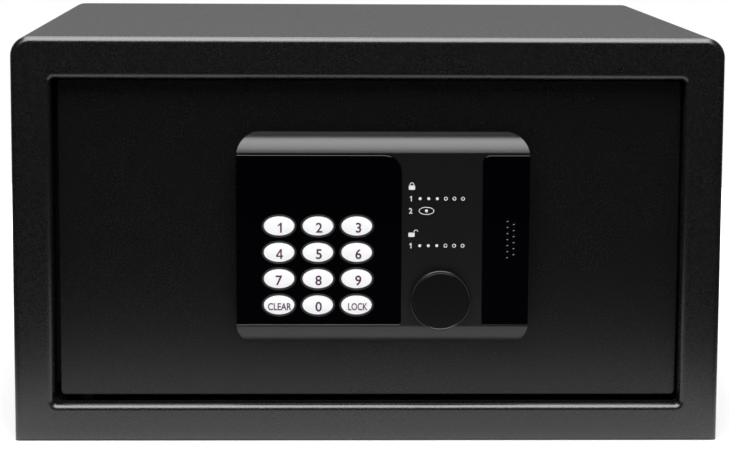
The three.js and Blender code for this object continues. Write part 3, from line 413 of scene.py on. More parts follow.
def inside_paint():
    """Thin matt black paint on the parts that are seen with the door open."""
    paint = Finish("inside_paint", (0.016, 0.016, 0.017), 0.55)
    mist = paint.noise(0.8, detail=3)
    drift = paint.noise(45)
    paint.tint(drift, (0.013, 0.013, 0.014), (0.019, 0.019, 0.020))
    paint.set("Roughness", 0.5 + mist * 0.12)
    paint.relief(mist, 0.02)
    return paint.material


def gap_shade_paint():
    """Near-black paint on the hinge guard, pins and bushes: painted shade for the dark gap beside the door.
    """
    paint = Finish("gap_shade_paint", (0.003, 0.003, 0.0031), 0.5)
    mist = paint.noise(0.8, detail=3)
    paint.tint(mist, (0.002, 0.002, 0.0021), (0.004, 0.004, 0.0041))
    paint.set("Roughness", 0.45 + mist * 0.12)
    paint.relief(mist, 0.01)
    return paint.material


def panel_plastic():
    """Satin painted moulding of the lock housing."""
    paint = Finish("panel_plastic", (0.0022, 0.0022, 0.0024), 0.36, specular_ior_level=0.82)
    mist = paint.noise(0.35, detail=2)
    drift = paint.noise(25)
    paint.tint(drift, (0.0018, 0.0018, 0.0020), (0.0026, 0.0026, 0.0028))
    paint.set("Roughness", 0.33 + mist * 0.06)
    paint.relief(mist, 0.008)
    return paint.material


def gloss_black():
    """Polished black acrylic with the faintest film of handling."""
    acrylic = Finish("gloss_black", (0.0003, 0.0003, 0.0009), 0.05, specular_ior_level=0.7)
    film = acrylic.noise(14, detail=4)
    acrylic.set("Roughness", 0.04 + film * 0.05)
    return acrylic.material


def frosted_edge():
    """The milled edge of the key openings, left matt."""
    edge = Finish("frosted_edge", (0.022, 0.022, 0.023), 0.45, specular_ior_level=0.35)
    milling = edge.noise(0.25, detail=2)
    edge.tint(milling, (0.016, 0.016, 0.017), (0.028, 0.028, 0.029))
    edge.relief(milling, 0.01)
    return edge.material


def painted_edge_highlight():
    """The sawn lower edge of the window, painted a light grey: a painted highlight where the edge mirrors
    the floor.
    """
    edge = Finish("painted_edge_highlight", (0.3, 0.3, 0.31), 0.25)
    waves = edge.noise(2.5, detail=2)
    edge.tint(waves, (0.26, 0.26, 0.27), (0.34, 0.34, 0.35))
    edge.relief(waves, 0.01)
    return edge.material


def key_white():
    """Smooth white key plastic."""
    plastic = Finish("key_white", (0.92, 0.92, 0.925), 0.3)
    mould = plastic.noise(4, detail=3)
    plastic.tint(mould, (0.90, 0.90, 0.905), (0.94, 0.94, 0.945))
    plastic.set("Roughness", 0.27 + mould * 0.08)
    return plastic.material


def printed(name, colour):
    """Screen-printed ink, slightly uneven in its cover."""
    ink = Finish(name, colour, 0.5)
    cover = ink.noise(0.3, detail=2)
    thin = tuple(channel * 0.85 for channel in colour)
    ink.tint(cover, thin, colour)
    ink.set("Roughness", 0.42 + cover * 0.15)
    return ink.material


def cap_plastic():
    """Satin black moulding of the lock cap, eroded finely like a spark-cut tool."""
    plastic = Finish("cap_plastic", (0.0034, 0.0034, 0.0035), 0.25, specular_ior_level=0.8)
    spark = plastic.noise(0.3, detail=3)
    plastic.set("Roughness", 0.21 + spark * 0.06)
    plastic.relief(spark, 0.006)
    return plastic.material


def plain_steel():
    """Zinc-plated steel: a cloudy grey with fine rolling lines."""
    steel = Finish("plain_steel", (0.55, 0.56, 0.58), 0.35, metallic=1.0)
    cloud = steel.noise(9, detail=4)
    lines = steel.noise(1.2, detail=3, stretch=(0.06, 1.0, 1.0))
    steel.tint(cloud, (0.46, 0.47, 0.49), (0.62, 0.63, 0.64))
    steel.set("Roughness", 0.26 + cloud * 0.12 + lines * 0.1)
    steel.relief(lines, 0.006)
    return steel.material


def chromed_steel():
    """Bright chrome with hairline wear along the bolt's travel."""
    chrome = Finish("chromed_steel", (0.75, 0.76, 0.77), 0.1, metallic=1.0)
    hairs = chrome.noise(0.6, detail=2, stretch=(0.03, 1.0, 1.0))
    chrome.set("Roughness", 0.06 + (hairs > 0.62) * 0.14)
    chrome.relief(hairs, 0.0015)
    return chrome.material


def brass():
    """Machined brass with turning marks and a slight tarnish."""
    metal = Finish("brass", (0.62, 0.47, 0.2), 0.28, metallic=1.0)
    tarnish = metal.noise(3, detail=4)
    marks = metal.noise(0.2, detail=1, stretch=(1.0, 0.1, 1.0))
    metal.tint(tarnish, (0.50, 0.36, 0.14), (0.68, 0.52, 0.24))
    metal.set("Roughness", 0.2 + tarnish * 0.15)
    metal.relief(marks, 0.003)
    return metal.material


def black_nylon():
    """Dull moulded nylon."""
    nylon = Finish("black_nylon", (0.02, 0.02, 0.021), 0.55)
    mould = nylon.noise(1.5, detail=3)
    nylon.set("Roughness", 0.5 + mould * 0.12)
    nylon.relief(mould, 0.01)
    return nylon.material


def black_rubber():
    """Matt rubber with a dusty bloom."""
    rubber = Finish("black_rubber", (0.015, 0.015, 0.015), 0.8)
    bloom = rubber.noise(6, detail=4)
    rubber.tint(bloom, (0.018, 0.018, 0.018), (0.036, 0.036, 0.037))
    rubber.relief(rubber.noise(0.6, detail=3), 0.015)
    return rubber.material


def cover_plastic():
    """Black moulding with the fine leather-like grain of an inner cover."""
    plastic = Finish("cover_plastic", (0.018, 0.018, 0.019), 0.5)
    grain = plastic.cells(1.1)
    drift = plastic.noise(40)
    plastic.tint(drift, (0.016, 0.016, 0.017), (0.021, 0.021, 0.022))
    plastic.set("Roughness", 0.44 + grain * 0.15)
    plastic.relief(grain, 0.05)
    return plastic.material


def board_green():
    """Green solder mask with the copper tracks just raised under it."""
    board = Finish("board_green", (0.02, 0.11, 0.05), 0.3)
    across = board.noise(2.2, detail=0, stretch=(0.12, 1.0, 1.0))
    tracks = board.smooth_step(across, 0.52, 0.56)
    board.tint(tracks, (0.012, 0.075, 0.034), (0.03, 0.16, 0.075))
    board.relief(tracks, 0.03)
    return board.material


def grey_felt():
    """Needled felt: matted fibres in two greys, with a soft nap."""
    felt = Finish("grey_felt", (0.07, 0.07, 0.075), 0.95, sheen_weight=0.35, sheen_roughness=0.5)
    fibres = felt.noise(0.7, detail=6, stretch=(1.0, 0.35, 1.0), rough=0.7)
    tufts = felt.noise(4, detail=4)
    felt.tint(fibres, (0.035, 0.035, 0.038), (0.115, 0.115, 0.122))
    felt.relief(fibres * 0.6 + tufts * 0.4, 0.6)
    return felt.material


def cell_sleeve():
    """Plain shrink sleeve of the battery cells, slightly rippled."""
    sleeve = Finish("cell_sleeve", (0.05, 0.08, 0.13), 0.3)
    ripple = sleeve.noise(3, detail=3)
    sleeve.tint(ripple, (0.045, 0.072, 0.12), (0.056, 0.09, 0.145))
    sleeve.set("Roughness", 0.26 + ripple * 0.1)
    sleeve.relief(ripple, 0.02)
    return sleeve.material


frame_powder = {
    "full": (0.0084, 0.0084, 0.0086), "shine": 0.8, "smoothest": 0.22, "bare": 0.25, "covered": 0.6,
}
# The door plate's coat: the frame's powder made darker and duller, as painted shade on the recessed door.
shaded_leaf_powder = {
    "full": (0.0088, 0.0088, 0.0091), "shine": 0.56, "smoothest": 0.22, "bare": 0.12, "covered": 0.88,
}
plain_finishes = (
    inside_paint, gap_shade_paint, panel_plastic, gloss_black, frosted_edge, painted_edge_highlight, key_white,
    cap_plastic, plain_steel, chromed_steel, brass, black_nylon, black_rubber, cover_plastic, board_green,
    grey_felt, cell_sleeve,
)
finishes = {
    "powder_coat": powder_coat("powder_coat", **frame_powder),
    "shaded_leaf_coat": powder_coat("shaded_leaf_coat", **shaded_leaf_powder),
    "legend_ink": printed("legend_ink", (0.08, 0.002, 0.072)),
    "panel_ink": printed("panel_ink", (0.8, 0.8, 0.8)),
    **{make.__name__: make() for make in plain_finishes},
}


# Pieces on the frame

hinge_nodes = ("hinge_guard", "hinge_pin_lower", "hinge_pin_upper", "hinge_bush_lower", "hinge_bush_upper")
# The door plate and the parts in the hinge gap take darker finishes than their slots: painted shade.
special_finishes = {"door_plate": "shaded_leaf_coat", **{name: "gap_shade_paint" for name in hinge_nodes}}


def smoothed(mesh):
    """Smooth shading with every edge sharper than the limit left crisp."""
    shape = bmesh.new()
    shape.from_mesh(mesh)
    bmesh.ops.remove_doubles(shape, verts=shape.verts, dist=1e-6)
    for face in shape.faces:
        face.smooth = True
    for edge in shape.edges:
        edge.smooth = len(edge.link_faces) == 2 and edge.calc_face_angle(0) < SMOOTH_LIMIT
    shape.to_mesh(mesh)
    shape.free()


def add_piece(name, mesh, body, finish, stands_for=()):
    """A named piece with its finish, on a body of the frame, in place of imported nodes."""
    if not mesh.materials:
        mesh.materials.append(finishes[finish])
    smoothed(mesh)
    mesh.name = name
    holder = shown(mesh, name)
    even = holder.modifiers.new("even_shading", "WEIGHTED_NORMAL")
    even.keep_sharp = True
    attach(holder, body)
    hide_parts(*stands_for)
    return holder


def dress_frame():
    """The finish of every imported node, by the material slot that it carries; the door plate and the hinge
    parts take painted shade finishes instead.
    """
    for name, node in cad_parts.items():
        for slot in node.material_slots:
            slot.material = finishes[special_finishes.get(name, slot.material.name.split(".")[0])]


# Cabinet

cabinet = node_rect("cabinet_shell")
cabinet_front, cabinet_back = node_depths("cabinet_shell")
opening = grown(node_rect("door_jamb"), -JAMB_SHEET - opening_sizes["step"])


def cabinet_body():
    """Folded top and sides with the front frame, rolled at the outside and round the door opening."""
    sheet = cabinet_sizes["sheet"]
    top = cabinet_sizes["top_radius"]

    def rolled_in(inset):
        low = cabinet.bottom + inset * cabinet_sizes["foot_radius"] / cabinet_sizes["edge_radius"]
        rect = grown(cabinet, -inset)._replace(bottom=low)
        return outline(rect, (0.0, 0.0, top - inset, top - inset))

    edge = quarter_round(cabinet_sizes["edge_radius"])
    levels = [(cabinet_front + depth, rolled_in(inset)) for inset, depth in edge]
    skin = skinned([*levels, (cabinet_back, rolled_in(0.0))])
    rear_front = node_depths("rear_panel")[0]

    def room_at(inset):
        room = grown(cabinet, -sheet - inset)._replace(bottom=cabinet.bottom - PAST)
        return outline(room, (0.0, 0.0, top - sheet - inset, top - sheet - inset))

    weld = cabinet_sizes["weld"]
    hollow = skinned([
        (cabinet_front + sheet, room_at(0.0)),
        (rear_front - weld, room_at(0.0)),
        (rear_front - SEAM, room_at(weld)),
        (rear_front, room_at(weld)),
        (rear_front, room_at(0.0)),
        (cabinet_back + PAST, room_at(0.0)),
    ])
    corner = opening_sizes["corner"]
    lip_back = cabinet_front + cabinet_sizes["lip"]
    lip = prism(outline(grown(opening, sheet), corner + sheet), cabinet_front + sheet / 2, lip_back)

    def mouth_at(grow):
        return outline(grown(opening, grow), corner + grow)

    roll = quarter_round(opening_sizes["roll"])
    mouth = skinned([
        (cabinet_front - PAST, mouth_at(opening_sizes["roll"])),
        *[(cabinet_front + depth, mouth_at(inset)) for inset, depth in roll],
        (lip_back + PAST, mouth_at(0.0)),
    ])
    shell = cut(join(cut(skin, hollow), lip), mouth)
    add_piece("cabinet_body", shell, "cabinet", "powder_coat", ["cabinet_shell"])


def felt_mat():
    """Felt laid on the floor plate, with room round the two anchor plugs."""
    low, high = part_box("floor_mat")
    flat_rect = Rect(low.x / MM, high.x / MM, low.y / MM, high.y / MM)
    bottom, top = low.z / MM, high.z / MM
    edge, corner = felt_sizes["edge"], felt_sizes["corner"]
    levels = [(bottom, 0.0), (top - edge, 0.0), (top - edge / 3, edge / 3), (top, edge)]
    rings = []
    for z, inset in levels:
        rings.append([(x, y, z) for x, y in outline(grown(flat_rect, -inset), corner - inset)])
    hole = rod(felt_sizes["plug_room"], bottom - PAST, top + PAST)
    tools = []
    for name in ("floor_plug_left", "floor_plug_right"):
        near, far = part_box(name)
        middle = (near + far) / 2 / MM
        tools.append(turned(hole, "z", (middle.x, middle.y, 0.0)))
    felt = add_piece("felt_mat", cut(closed_mesh(rings), *tools), "cabinet", "grey_felt", ["floor_mat"])


# Lock housing

panel = node_rect("lock_housing")
panel_front, panel_back = node_depths("lock_housing")
window = node_rect("keypad_window")
strip = node_rect("sound_strip")
inlay_front, inlay_back = node_depths("keypad_window")
cap_at = centre(node_rect("override_cap"))
cap_front = node_depths("override_cap")[0]
KEYS = ("1", "2", "3", "4", "5", "6", "7", "8", "9", "clear", "0", "lock")
key_rects = {key: grown(node_rect("key_" + key), -key_sizes["flange"]) for key in KEYS}


def housing_side():
    """Side view of the housing: flat between its creases, and falling away above and below."""
    height = panel_sizes["end_height"]
    start = math.pi / 2 - panel_sizes["fall"]
    steps = 24
    angles = [start * (1 - step / steps) for step in range(steps + 1)]
    fall = [(math.cos(a) - math.cos(start), math.sin(start) - math.sin(a)) for a in angles]
    span_out, span_down = fall[-1]
    depth = panel_back - panel_front
    ends = [(panel_front + down / span_down * depth, out / span_out * height) for out, down in fall]
    upper = [(y, panel.top - height + out) for y, out in reversed(ends)]
    lower = [(y, panel.bottom + height - out) for y, out in ends]
    return upper + lower


def panel_housing():
    """Moulded housing with convex ends and the seats of its two gloss inlays."""
    wall = panel_sizes["wall"]
    height = panel_sizes["end_height"]
    rounded = prism(outline(panel, panel_sizes["corner"], steps=20), panel_front - PAST, panel_back + PAST)
    solid = common(rounded, bar(housing_side(), panel.left - PAST, panel.right + PAST))
    gap = inlay_sizes["gap"]
    floor = inlay_back + gap
    cavity_front = floor + inlay_sizes["backing"]
    inside = grown(panel, -wall)
    creased = Rect(inside.left, inside.right, panel.bottom + height, panel.top - height)
    cavity = skinned([
        (cavity_front, outline(creased, wall)),
        (panel_back + PAST, outline(inside, panel_sizes["corner"] - wall)),
    ])

    def seat(rect, radii):
        points = outline(rect, tuple(radius + gap if radius else 0.0 for radius in radii))
        return prism(points, inlay_front - PAST, floor)

    cap_bore = rod(cap_sizes["spigot"] + cap_sizes["gap"], panel_front - PAST, cavity_front + PAST)
    keys = key_rects.values()
    key_field = Rect(
        min(key.left for key in keys), max(key.right for key in keys),
        min(key.bottom for key in keys), max(key.top for key in keys),
    )
    key_room = outline(grown(key_field, key_sizes["room"]), key_sizes["room_corner"])
    housing = cut(
        solid,
        cavity,
        seat(grown(window, gap)._replace(left=panel.left - PAST), window_corners),
        seat(grown(strip, gap)._replace(right=panel.right + PAST), strip_corners),
        turned(cap_bore, "y", (cap_at[0], 0.0, cap_at[1])),
        prism(key_room, floor - PAST, cavity_front + PAST),
    )
    add_piece("panel_housing", housing, "door", "panel_plastic", ["lock_housing"])


def inlay_plate(rect, radii):
    """A gloss inlay with a rounded front edge."""
    levels = []
    for inset, depth in quarter_round(inlay_sizes["edge_round"], steps=4):
        shrunk = tuple(max(radius - inset, 0.0) for radius in radii)
        levels.append((inlay_front + depth, outline(grown(rect, -inset), shrunk)))
    return skinned([*levels, (inlay_back, outline(rect, radii))])


def sound_hole(x, z):
    """A round hole with a sloping rim, as a cutting tool."""
    radius, bevel = sound_sizes["radius"], sound_sizes["bevel"]
    wide = ellipse(x, z, radius + 2 * bevel, radius + 2 * bevel)
    narrow = ellipse(x, z, radius, radius)
    return skinned([(inlay_front - bevel, wide), (inlay_front + bevel, narrow), (inlay_back + PAST, narrow)])


# Things that repeat in rows

def rows_tree():
    """Geometry nodes that repeat a shape in columns and rows."""
    tree = bpy.data.node_groups.new("copies_in_rows", "GeometryNodeTree")
    face = tree.interface
    face.new_socket("Geometry", in_out="INPUT", socket_type="NodeSocketGeometry")
    for name in ("Columns", "Rows"):
        face.new_socket(name, in_out="INPUT", socket_type="NodeSocketInt")
    for name in ("Column Step", "Row Step"):
        face.new_socket(name, in_out="INPUT", socket_type="NodeSocketVector")
    face.new_socket("Finish", in_out="INPUT", socket_type="NodeSocketMaterial")
    face.new_socket("Geometry", in_out="OUTPUT", socket_type="NodeSocketGeometry")
    net = Net(tree)
    given = net.add("NodeGroupInput")

    def wire(name):
        return Wire(net, given.outputs[name])

    def line(count, step):
        values = {"Count": wire(count), "Offset": wire(step)}
        return net.wire("GeometryNodeMeshLine", "Mesh", {"mode": "OFFSET"}, values)

    def on_points(points, instance):
        return net.wire("GeometryNodeInstanceOnPoints", 0, None, {"Points": points, "Instance": instance})

    grid = on_points(line("Columns", "Column Step"), line("Rows", "Row Step"))
    places = net.wire("GeometryNodeRealizeInstances", 0, None, {"Geometry": grid})
    copies = on_points(places, wire("Geometry"))
    solid = net.wire("GeometryNodeRealizeInstances", 0, None, {"Geometry": copies})
    values = {"Geometry": solid, "Material": wire("Finish")}
    made = net.wire("GeometryNodeSetMaterial", 0, None, values)
    net.add("NodeGroupOutput", None, {0: made})
    return tree


rows = rows_tree()


def repeated(mesh, columns, column_step, row_count, row_step, finish):
    """A mesh of one shape repeated in columns and rows, with steps in millimetres."""
    holder = shown(mesh, "one")
    modifier = holder.modifiers.new("copies", "NODES")
    modifier.node_group = rows
    values = {
        "Columns": columns,
        "Rows": row_count,
        "Column Step": Vector(column_step) * MM,
        "Row Step": Vector(row_step) * MM,
        "Finish": finishes[finish],
    }
    for item in rows.interface.items_tree:
        if item.name in values:
            modifier[item.identifier] = values[item.name]
    return evaluated_mesh(holder)


# Inlays

first_key = key_rects["1"]
key_half = ((first_key.right - first_key.left) / 2, (first_key.top - first_key.bottom) / 2)
key_step_x = centre(key_rects["2"])[0] - centre(key_rects["1"])[0]
key_step_z = centre(key_rects["4"])[1] - centre(key_rects["1"])[1]
hole_half = tuple(half + key_sizes["gap"] for half in key_half)


def key_hole(grow):
    """The outline of the first key's hole, grown by this much."""
    x, z = centre(first_key)
    return ellipse(x, z, hole_half[0] + grow, hole_half[1] + grow)


def at_each_key(mesh, finish):
    return repeated(mesh, 3, (key_step_x, 0, 0), 4, (0, 0, key_step_z), finish)


def keypad_window():
    """Gloss window with an opening for each key and its bezel."""
    hole = prism(key_hole(bezel_sizes["width"]), inlay_front - PAST, inlay_back + PAST)
    glass = cut(inlay_plate(window, window_corners), at_each_key(hole, "gloss_black"))
    glass.materials.clear()
    glass.materials.append(finishes["gloss_black"])
    glass.materials.append(finishes["painted_edge_highlight"])
    # Downward faces along the window's lowest edge take the light grey painted highlight.
    for face in glass.polygons:
        lowest = face.center.z / MM < window.bottom + inlay_sizes["edge_round"]
        face.material_index = 1 if lowest and face.normal.z < FACES_DOWN else 0
    add_piece("window_glass", glass, "door", "gloss_black", ["keypad_window"])


def key_bezels():
    """A matt ring in the window round each key, sloping in towards it."""
    width, edge = bezel_sizes["width"], bezel_sizes["edge"]
    outer = key_hole(width)
    inner = key_hole(-bezel_sizes["cover"])
    levels = [
        (inlay_back, outer),
        (inlay_front + edge, outer),
        (inlay_front, key_hole(width - 2 * edge)),
        (inlay_front + bezel_sizes["depth"], inner),
        (inlay_back, inner),
        (inlay_back, outer),
    ]
    made = at_each_key(skinned(levels, caps=False), "frosted_edge")
    add_piece("key_bezels", made, "door", "frosted_edge")


def sound_grille():
    """Gloss strip with two staggered columns of bevelled sound holes."""
    plate = inlay_plate(strip, strip_corners)
    pitch = sound_sizes["pitch"]
    middle_x = strip.right - sound_sizes["from_right"]
    middle_z = centre(panel)[1] + sound_sizes["above_middle"]
    for column, count in enumerate(sound_sizes["counts"]):
        x = middle_x + (column - 0.5) * sound_sizes["columns"]
        z = middle_z - (count - 1) / 2 * pitch
        holes = repeated(sound_hole(x, z), 1, (0, 0, 0), count, (0, 0, pitch), "gloss_black")
        plate = cut(plate, holes)
    add_piece("sound_grille", plate, "door", "gloss_black", ["sound_strip"])


# Keys and their legends

key_front, key_back = node_depths("key_1")


def crown_depth(x, z, rect):
    """How far behind the key's highest point its crown is at a place."""
    middle_x, middle_z = centre(rect)
    across = (x - middle_x) / key_half[0]
    up = (z - middle_z) / key_half[1]
    return key_sizes["crown"] * (across ** 2 + up ** 2) ** 1.5


def key_cap(key):
    """A softly crowned elliptical cap on its flange."""
    x, z = centre(key_rects[key])

    def grown_by(grow):
        return ellipse(x, z, key_half[0] + grow, key_half[1] + grow)

    levels = []
    for share in crown_shares:
        points = ellipse(x, z, key_half[0] * share, key_half[1] * share)
        levels.append((key_front + key_sizes["crown"] * share ** 3, points))
    crown_edge = key_front + key_sizes["crown"]
    for inset, depth in quarter_round(key_sizes["shoulder"], steps=4):
        levels.append((crown_edge + depth, grown_by(-inset)))
    flange_front = inlay_back + key_sizes["flange_gap"]
    flange = grown_by(key_sizes["flange"])
    levels += [(flange_front, grown_by(0.0)), (flange_front, flange), (key_back, flange)]
    add_piece("keycap_" + key, skinned(levels), "button_" + key, "key_white", ["key_" + key])


def text_mesh(words, height, width, weight):
    """Plain lettering, centred, drawn in x and y, with its ink's thickness. In metres."""
    curve = bpy.data.curves.new("words", "FONT")
    curve.body = words
    curve.extrude = legend_sizes["ink"] * MM
    curve.offset = weight
    curve.resolution_u = 4
    return fitted(evaluated_mesh(shown(curve, "words")), height, width)


def fitted(mesh, height, width=None):
    """A flat shape drawn in x and y, centred and scaled to a height, and to a width where one is given."""
    across = [vertex.co.x for vertex in mesh.vertices]
    up = [vertex.co.y for vertex in mesh.vertices]
    left, right, low, high = min(across), max(across), min(up), max(up)
    scale = height * MM / (high - low)
    squeeze = width * MM / (right - left) if width else scale
    for vertex in mesh.vertices:
        vertex.co.x = (vertex.co.x - (right + left) / 2) * squeeze
        vertex.co.y = (vertex.co.y - (high + low) / 2) * scale
    return mesh


def figure_one(height):
    """A 1 with a flag, drawn in parts of its height."""
    stem_left, stem_right, flag = 0.0, 0.17, -0.24
    points = [
        (stem_left, 0.0), (stem_right, 0.0), (stem_right, 1.0), (stem_left + 0.05, 1.0),
        (stem_left - 0.07, 0.86), (flag, 0.76), (flag, 0.63), (stem_left - 0.11, 0.69), (stem_left, 0.77),
    ]
    return fitted(drawn(points, legend_sizes["ink"]), height)


def figure_four(height):
    """A 4 with an open middle, drawn in parts of its height."""
    outside = [
        (0.0, 0.22), (0.42, 0.22), (0.42, 0.0), (0.57, 0.0), (0.57, 0.22), (0.69, 0.22),
        (0.69, 0.35), (0.57, 0.35), (0.57, 1.0), (0.43, 1.0), (0.0, 0.37),
    ]
    middle = [(0.16, 0.35), (0.42, 0.35), (0.42, 0.75)]
    ink = legend_sizes["ink"]
    return fitted(cut(drawn(outside, ink), drawn(middle, ink + PAST)), height)


def drawn(points, thick):
    """A flat shape drawn in x and y, as thick as this on both sides of its plane."""
    return closed_mesh([[(x, y, z) for x, y in points] for z in (-thick, thick)])


def figure(words, height, width=None):
    """A digit or word. The 1 and the 4 are drawn here, as the letters' own differ from those needed."""
    if words == "1":
        return figure_one(height)
    if words == "4":
        return figure_four(height)
    return text_mesh(words, height, width, legend_weights["digit" if words.isdigit() else "word"])


def sliced(mesh, step):
    """A flat shape cut both ways, in steps of millimetres, so that it can follow a crown."""
    shape = bmesh.new()
    shape.from_mesh(mesh)
    for axis in (0, 1):
        places = [vertex.co[axis] for vertex in shape.verts]
        for index in range(math.floor(min(places) / MM / step), math.ceil(max(places) / MM / step)):
            plane, facing = Vector(), Vector()
            plane[axis] = (index + 0.5) * step * MM
            facing[axis] = 1.0
            everything = [*shape.verts, *shape.edges, *shape.faces]
            bmesh.ops.bisect_plane(shape, geom=everything, plane_co=plane, plane_no=facing)
    shape.to_mesh(mesh)
    shape.free()
    return mesh


def stood_up(mesh, x, z, front_at):
    """Turns lettering drawn in x and y to face the front, on a surface with a depth at each place."""
    for vertex in mesh.vertices:
        across = x + vertex.co.x / MM
        up = z + vertex.co.y / MM
        out = vertex.co.z / MM
        vertex.co = Vector((across, front_at(across, up) - out, up)) * MM
    return mesh


def key_legend(key):
    """The digit or word printed on a key, on its crown."""
    rect = key_rects[key]
    x, z = centre(rect)
    height = legend_sizes["digit" if key.isdigit() else "word"]
    mesh = sliced(figure(key.upper(), height, legend_widths.get(key)), legend_sizes["slice"])

    def front_at(across, up):
        return key_front + crown_depth(across, up, rect) - legend_sizes["lift"]

    stood_up(mesh, x + legend_shifts.get(key, 0.0), z - legend_sizes["drop"], front_at)
    mesh.materials.clear()
    add_piece("legend_" + key, mesh, "button_" + key, "legend_ink")


# Marks beside the keys: padlocks, step numbers and dots for the code's digits

def panel_marks():
    """Small white pictograms that say how to close and open."""
    shapes = []
    sunk = panel_front + mark_sizes["sunk"]
    raised = panel_front - mark_sizes["thick"]

    def column(name):
        return mark_places["left"] + mark_columns[name]

    def row(index):
        return mark_places["top"] - index * mark_places["row"]

    def plate(points):
        shapes.append(prism(points, raised, sunk))

    def dot(x, z):
        plate(ellipse(x, z, mark_sizes["dot"], mark_sizes["dot"], sides=20))

    def hoop(x, z, half_width, half_height):
        outer = ellipse(x, z, half_width, half_height, sides=40)
        inner = ellipse(x, z, half_width - mark_sizes["line"], half_height - mark_sizes["line"], sides=40)
        levels = [(raised, outer), (raised, inner), (sunk, inner), (sunk, outer), (raised, outer)]
        shapes.append(skinned(levels, caps=False))

    def padlock(z, is_open):
        x = column("padlock")
        width, corner = padlock_sizes["half_width"], padlock_sizes["corner"]
        case = Rect(x - width, x + width, z - padlock_sizes["below"], z + padlock_sizes["above"])
        plate(outline(case, corner, steps=3))
        bow_x = x + padlock_sizes["open_shift"] if is_open else x
        inside, outside = bow_sizes["inside"], bow_sizes["outside"]
        middle = z + bow_sizes["middle"]
        arcs = [arc(bow_x, middle, radius, 0, 14, sweep=180) for radius in (outside, inside)]
        plate(arcs[0] + arcs[1][::-1])
        foot, top = z + bow_sizes["leg_foot"], z + bow_sizes["leg_top"]
        plate(plain_outline(Rect(bow_x - outside, bow_x - inside, foot, top)))
        if not is_open:
            plate(plain_outline(Rect(x + inside, x + outside, foot, top)))

    def number(words, z):
        mesh = figure(words, mark_sizes["digit"])
        shapes.append(stood_up(mesh, column("number"), z, lambda across, up: panel_front))

    def code(z):
        """Three places that a code always has, and three that it may have."""
        radius, step = mark_sizes["hoop"], mark_places["step"]
        for place in range(3):
            dot(column("code") + place * step, z)
            hoop(column("code") + (place + 3) * step, z, radius, radius)

    for task in ("close", "open"):
        start = mark_rows[task]
        padlock(row(start), task == "open")
        number("1", row(start + mark_rows["first"]))
        code(row(start + mark_rows["first"]))
        if task == "close":
            second = row(start + mark_rows["second"])
            number("2", second)
            hoop(column("key"), second, *mark_key)
            dot(column("key"), second)
    add_piece("panel_marks", gathered(shapes), "door", "panel_ink")


def gathered(meshes):
    """Several meshes as one, each a body of its own."""
    shape = bmesh.new()
    for mesh in meshes:
        mesh.materials.clear()
        shape.from_mesh(mesh)
    made = bpy.data.meshes.new("gathered")
    shape.to_mesh(made)
    shape.free()
    return made


# Lock cap, bolts and screws

def lock_cap():
    """Round cap with a flat face inside a groove and a rounded bead."""
    rect = node_rect("override_cap")
    radius = (rect.right - rect.left) / 2
    seat = panel_front - cap_sizes["gap"]
    inner_end = seat + cap_sizes["spigot_length"]
    bead = cap_sizes["bead"] / 2
    bead_at = radius - bead
    face = cap_front + cap_sizes["sunk"]
    groove = cap_sizes["groove"]
    face_edge = bead_at - bead - groove
    profile = [(0.0, face)]
    profile += [(face_edge - inset, face + depth) for inset, depth in quarter_round(groove, steps=4)]
    profile += [(face_edge, cap_front + bead), (face_edge + groove, cap_front + bead)]
    steps = 16
    for step in range(1, steps + 1):
        angle = math.pi - math.pi * step / steps
        profile.append((bead_at + bead * math.cos(angle), cap_front + bead - bead * math.sin(angle)))
    spigot = cap_sizes["spigot"]
    profile += [(radius, seat), (spigot, seat), (spigot, inner_end), (0.0, inner_end)]
    cap = turned(profile, "y", (cap_at[0], 0.0, cap_at[1]), sides=128)
    add_piece("lock_cap_cover", cap, "lock_cap", "cap_plastic", ["override_cap"])


def locking_bolts():
    """Round chromed bolts with a rounded nose."""
    chamfer = bolt_sizes["chamfer"]
    for place in ("lower", "upper"):
        node = "locking_bolt_" + place
        low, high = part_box(node)
        radius = (high.z - low.z) / 2 / MM
        left, right = low.x / MM, high.x / MM
        middle = (low + high) / 2 / MM
        nose = [(radius - inset, right - depth) for inset, depth in quarter_round(bolt_sizes["nose"])]
        tail = [(0.0, left), (radius - chamfer, left), (radius, left + chamfer)]
        bolt = turned([*tail, *reversed(nose), (0.0, right)], "x", (0.0, middle.y, middle.z))
        add_piece("round_bolt_" + place, bolt, "bolts", "chromed_steel", [node])


def cover_screws():
    """Four pan-head screws with a cross recess, at the corners of the door's back cover."""
    nodes = [f"cover_screw_{number}" for number in range(1, 5)]
    rects = [node_rect(node) for node in nodes]
    first = min(rects, key=lambda rect: (rect.left, rect.bottom))
    x, z = centre(first)
    step_x = max(rect.left for rect in rects) - first.left
    step_z = max(rect.bottom for rect in rects) - first.bottom
    tip, top = node_depths(nodes[0])
    radius = (first.right - first.left) / 2
    seat = top - screw_sizes["head"]
    shank, point = screw_sizes["shank"], screw_sizes["point"]
    dome = [(radius - inset, top - depth) for inset, depth in quarter_round(screw_sizes["dome"], steps=5)]
    profile = [(0.0, tip), (shank - point, tip), (shank, tip + point), (shank, seat), (radius, seat)]
    solid = turned([*profile, *reversed(dome), (0.0, top)], "y", (x, 0.0, z), sides=32)
    reach, half = recess_sizes["reach"], recess_sizes["half_slot"]
    floor_at = top - recess_sizes["depth"]
    across = block(Rect(x - reach, x + reach, z - half, z + half), floor_at, top + PAST)
    upright = block(Rect(x - half, x + half, z - reach, z + reach), floor_at, top + PAST)
    screw = cut(solid, across, upright)
    made = repeated(screw, 2, (step_x, 0, 0), 2, (0, 0, step_z), "plain_steel")
    add_piece("cover_screws", made, "door", "plain_steel", nodes)


# Studio

